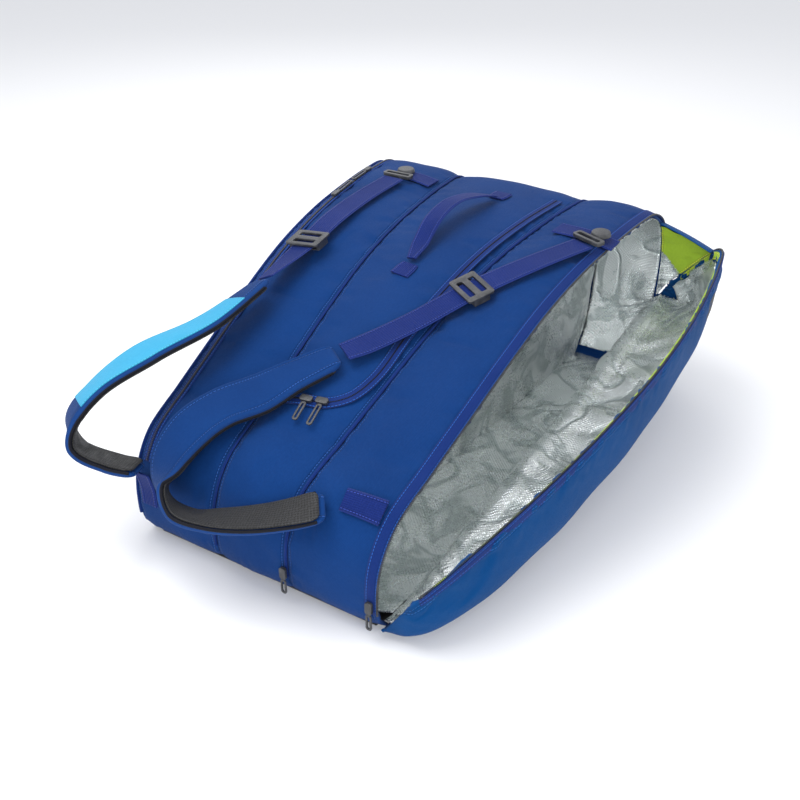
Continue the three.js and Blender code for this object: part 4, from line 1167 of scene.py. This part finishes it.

# %% [markdown]
# Sewn ends are short lengths of webbing; on the bag they are stitched down with a box and a cross, which is not drawn
# here, and they carry only a row of stitches along each side. The carry handle is webbing too, folded narrow where it
# is sewn and wide where the hand holds it.

# %% Sewn ends, tabs and handle
SEWN = flat_section(2.2)
right_anchor = [lying(122, -349, 7, 28), lying(150, -347, 6, 30), lying(174, -345, 6.5, 32)]
left_anchor = [
    at(-151, -399, 119, (0, -1, -0.2), 26), at(-151, -396, 107, (0, -1, -0.1), 26),
    at(-151, -393, 90, (0, -1, 0), 26), at(-151, -393, 66, (0, -1, 0), 26),
]
right_tab = [lying(228, 186, 5, 36), lying(185, 186, 5, 36), lying(136, 190, 5, 36)]
left_tab = [lying(-114, 266, 5, 36), lying(-145, 266, 5, 36), lying(-186, 266, 5, 36)]
for name, stations, node in (
    ("right_strap_end", right_anchor, "right_strap_anchor"), ("left_strap_end", left_anchor, "left_strap_anchor"),
    ("right_tab_cloth", right_tab, "right_swivel_tab"), ("left_tab_cloth", left_tab, "left_swivel_tab"),
):
    finish_piece(band(name, band_frames(stations, 60), SEWN), "bag", sewn_webbing, "navy_webbing", node)

handle = [
    (on_top(-6, 14, 10), (0, -0.5, 0.85), 14), at(-10, 45, 300, (0, -0.4, 0.9), 26),
    at(-14, 90, 322, (-0.1, -0.2, 1), 30), at(-12, 140, 332, (-0.1, 0, 1), 30),
    at(-4, 195, 326, (0, 0.3, 0.95), 28), (on_top(8, 240, 10), (0, 0.5, 0.85), 14),
]
handle_rear = [lying(-8, -16, 4, 30), lying(-6, 0, 4, 30), lying(-5, 10, 4, 26)]
handle_front = [lying(7, 246, 4, 26), lying(8, 256, 4, 30), lying(9, 272, 4, 30)]
for name, stations, node in (
    ("handle_rear_end", handle_rear, "handle_end_rear"), ("handle_front_end", handle_front, "handle_end_front"),
):
    finish_piece(band(name, band_frames(stations, 60), flat_section(2.8)), "bag", sewn_webbing, "navy_webbing", node)
finish_piece(
    band("carry_handle_webbing", band_frames(handle, 140), flat_section(3.0)), "carry_handle", sewn_webbing,
    "navy_webbing", "carry_handle",
)

# %% [markdown]
# ## Buckles, sliders and pulls
# The moulded and cast pieces keep the model's own shapes. Sharp corners would give them away as blocks, so
# each is a merged copy of the model's mesh with its edges rounded by a bevel.


# %% Hard pieces
def rounded(node, body, material=gunmetal_plastic, slot="gunmetal_plastic", width=0.7):
    """Copy of a node's mesh with its doubles merged and its sharp edges bevelled."""
    mesh = frame["nodes"][node].data.copy()
    piece = bpy.data.objects.new(f"{node}_moulding", mesh)
    scene.collection.objects.link(piece)
    weld = piece.modifiers.new("weld", "WELD")
    weld.merge_threshold = 0.00005
    bevel = piece.modifiers.new("bevel", "BEVEL")
    bevel.width, bevel.segments, bevel.limit_method = width * MM, 2, "ANGLE"
    bevel.angle_limit = math.radians(28)
    mesh.materials.clear()
    mesh.polygons.foreach_set("use_smooth", np.ones(len(mesh.polygons), bool))
    return finish_piece(piece, body, material, slot, node)


BODY_OF = {node: body for body, nodes in frame["record"]["behaviour"]["bodies"].items() for node in nodes}
hard_nodes = [
    node for node in sorted(frame["nodes"])
    if node.endswith(("_slider", "_pull", "_adjuster", "_disc", "_loop"))
]
for node in hard_nodes:
    rounded(node, BODY_OF[node], width=0.5 if node.endswith(("_slider", "_pull")) else 0.9)

patch = shell("patch_rubber", flap_layer(0.66, 0.77, 0.72, 0.88, 40, 24, 2.6), 2.4, [1.0, 0, 0.3], "uv")
finish_piece(patch, "flap", rubber_patch, "rubber_patch", "flap_patch")
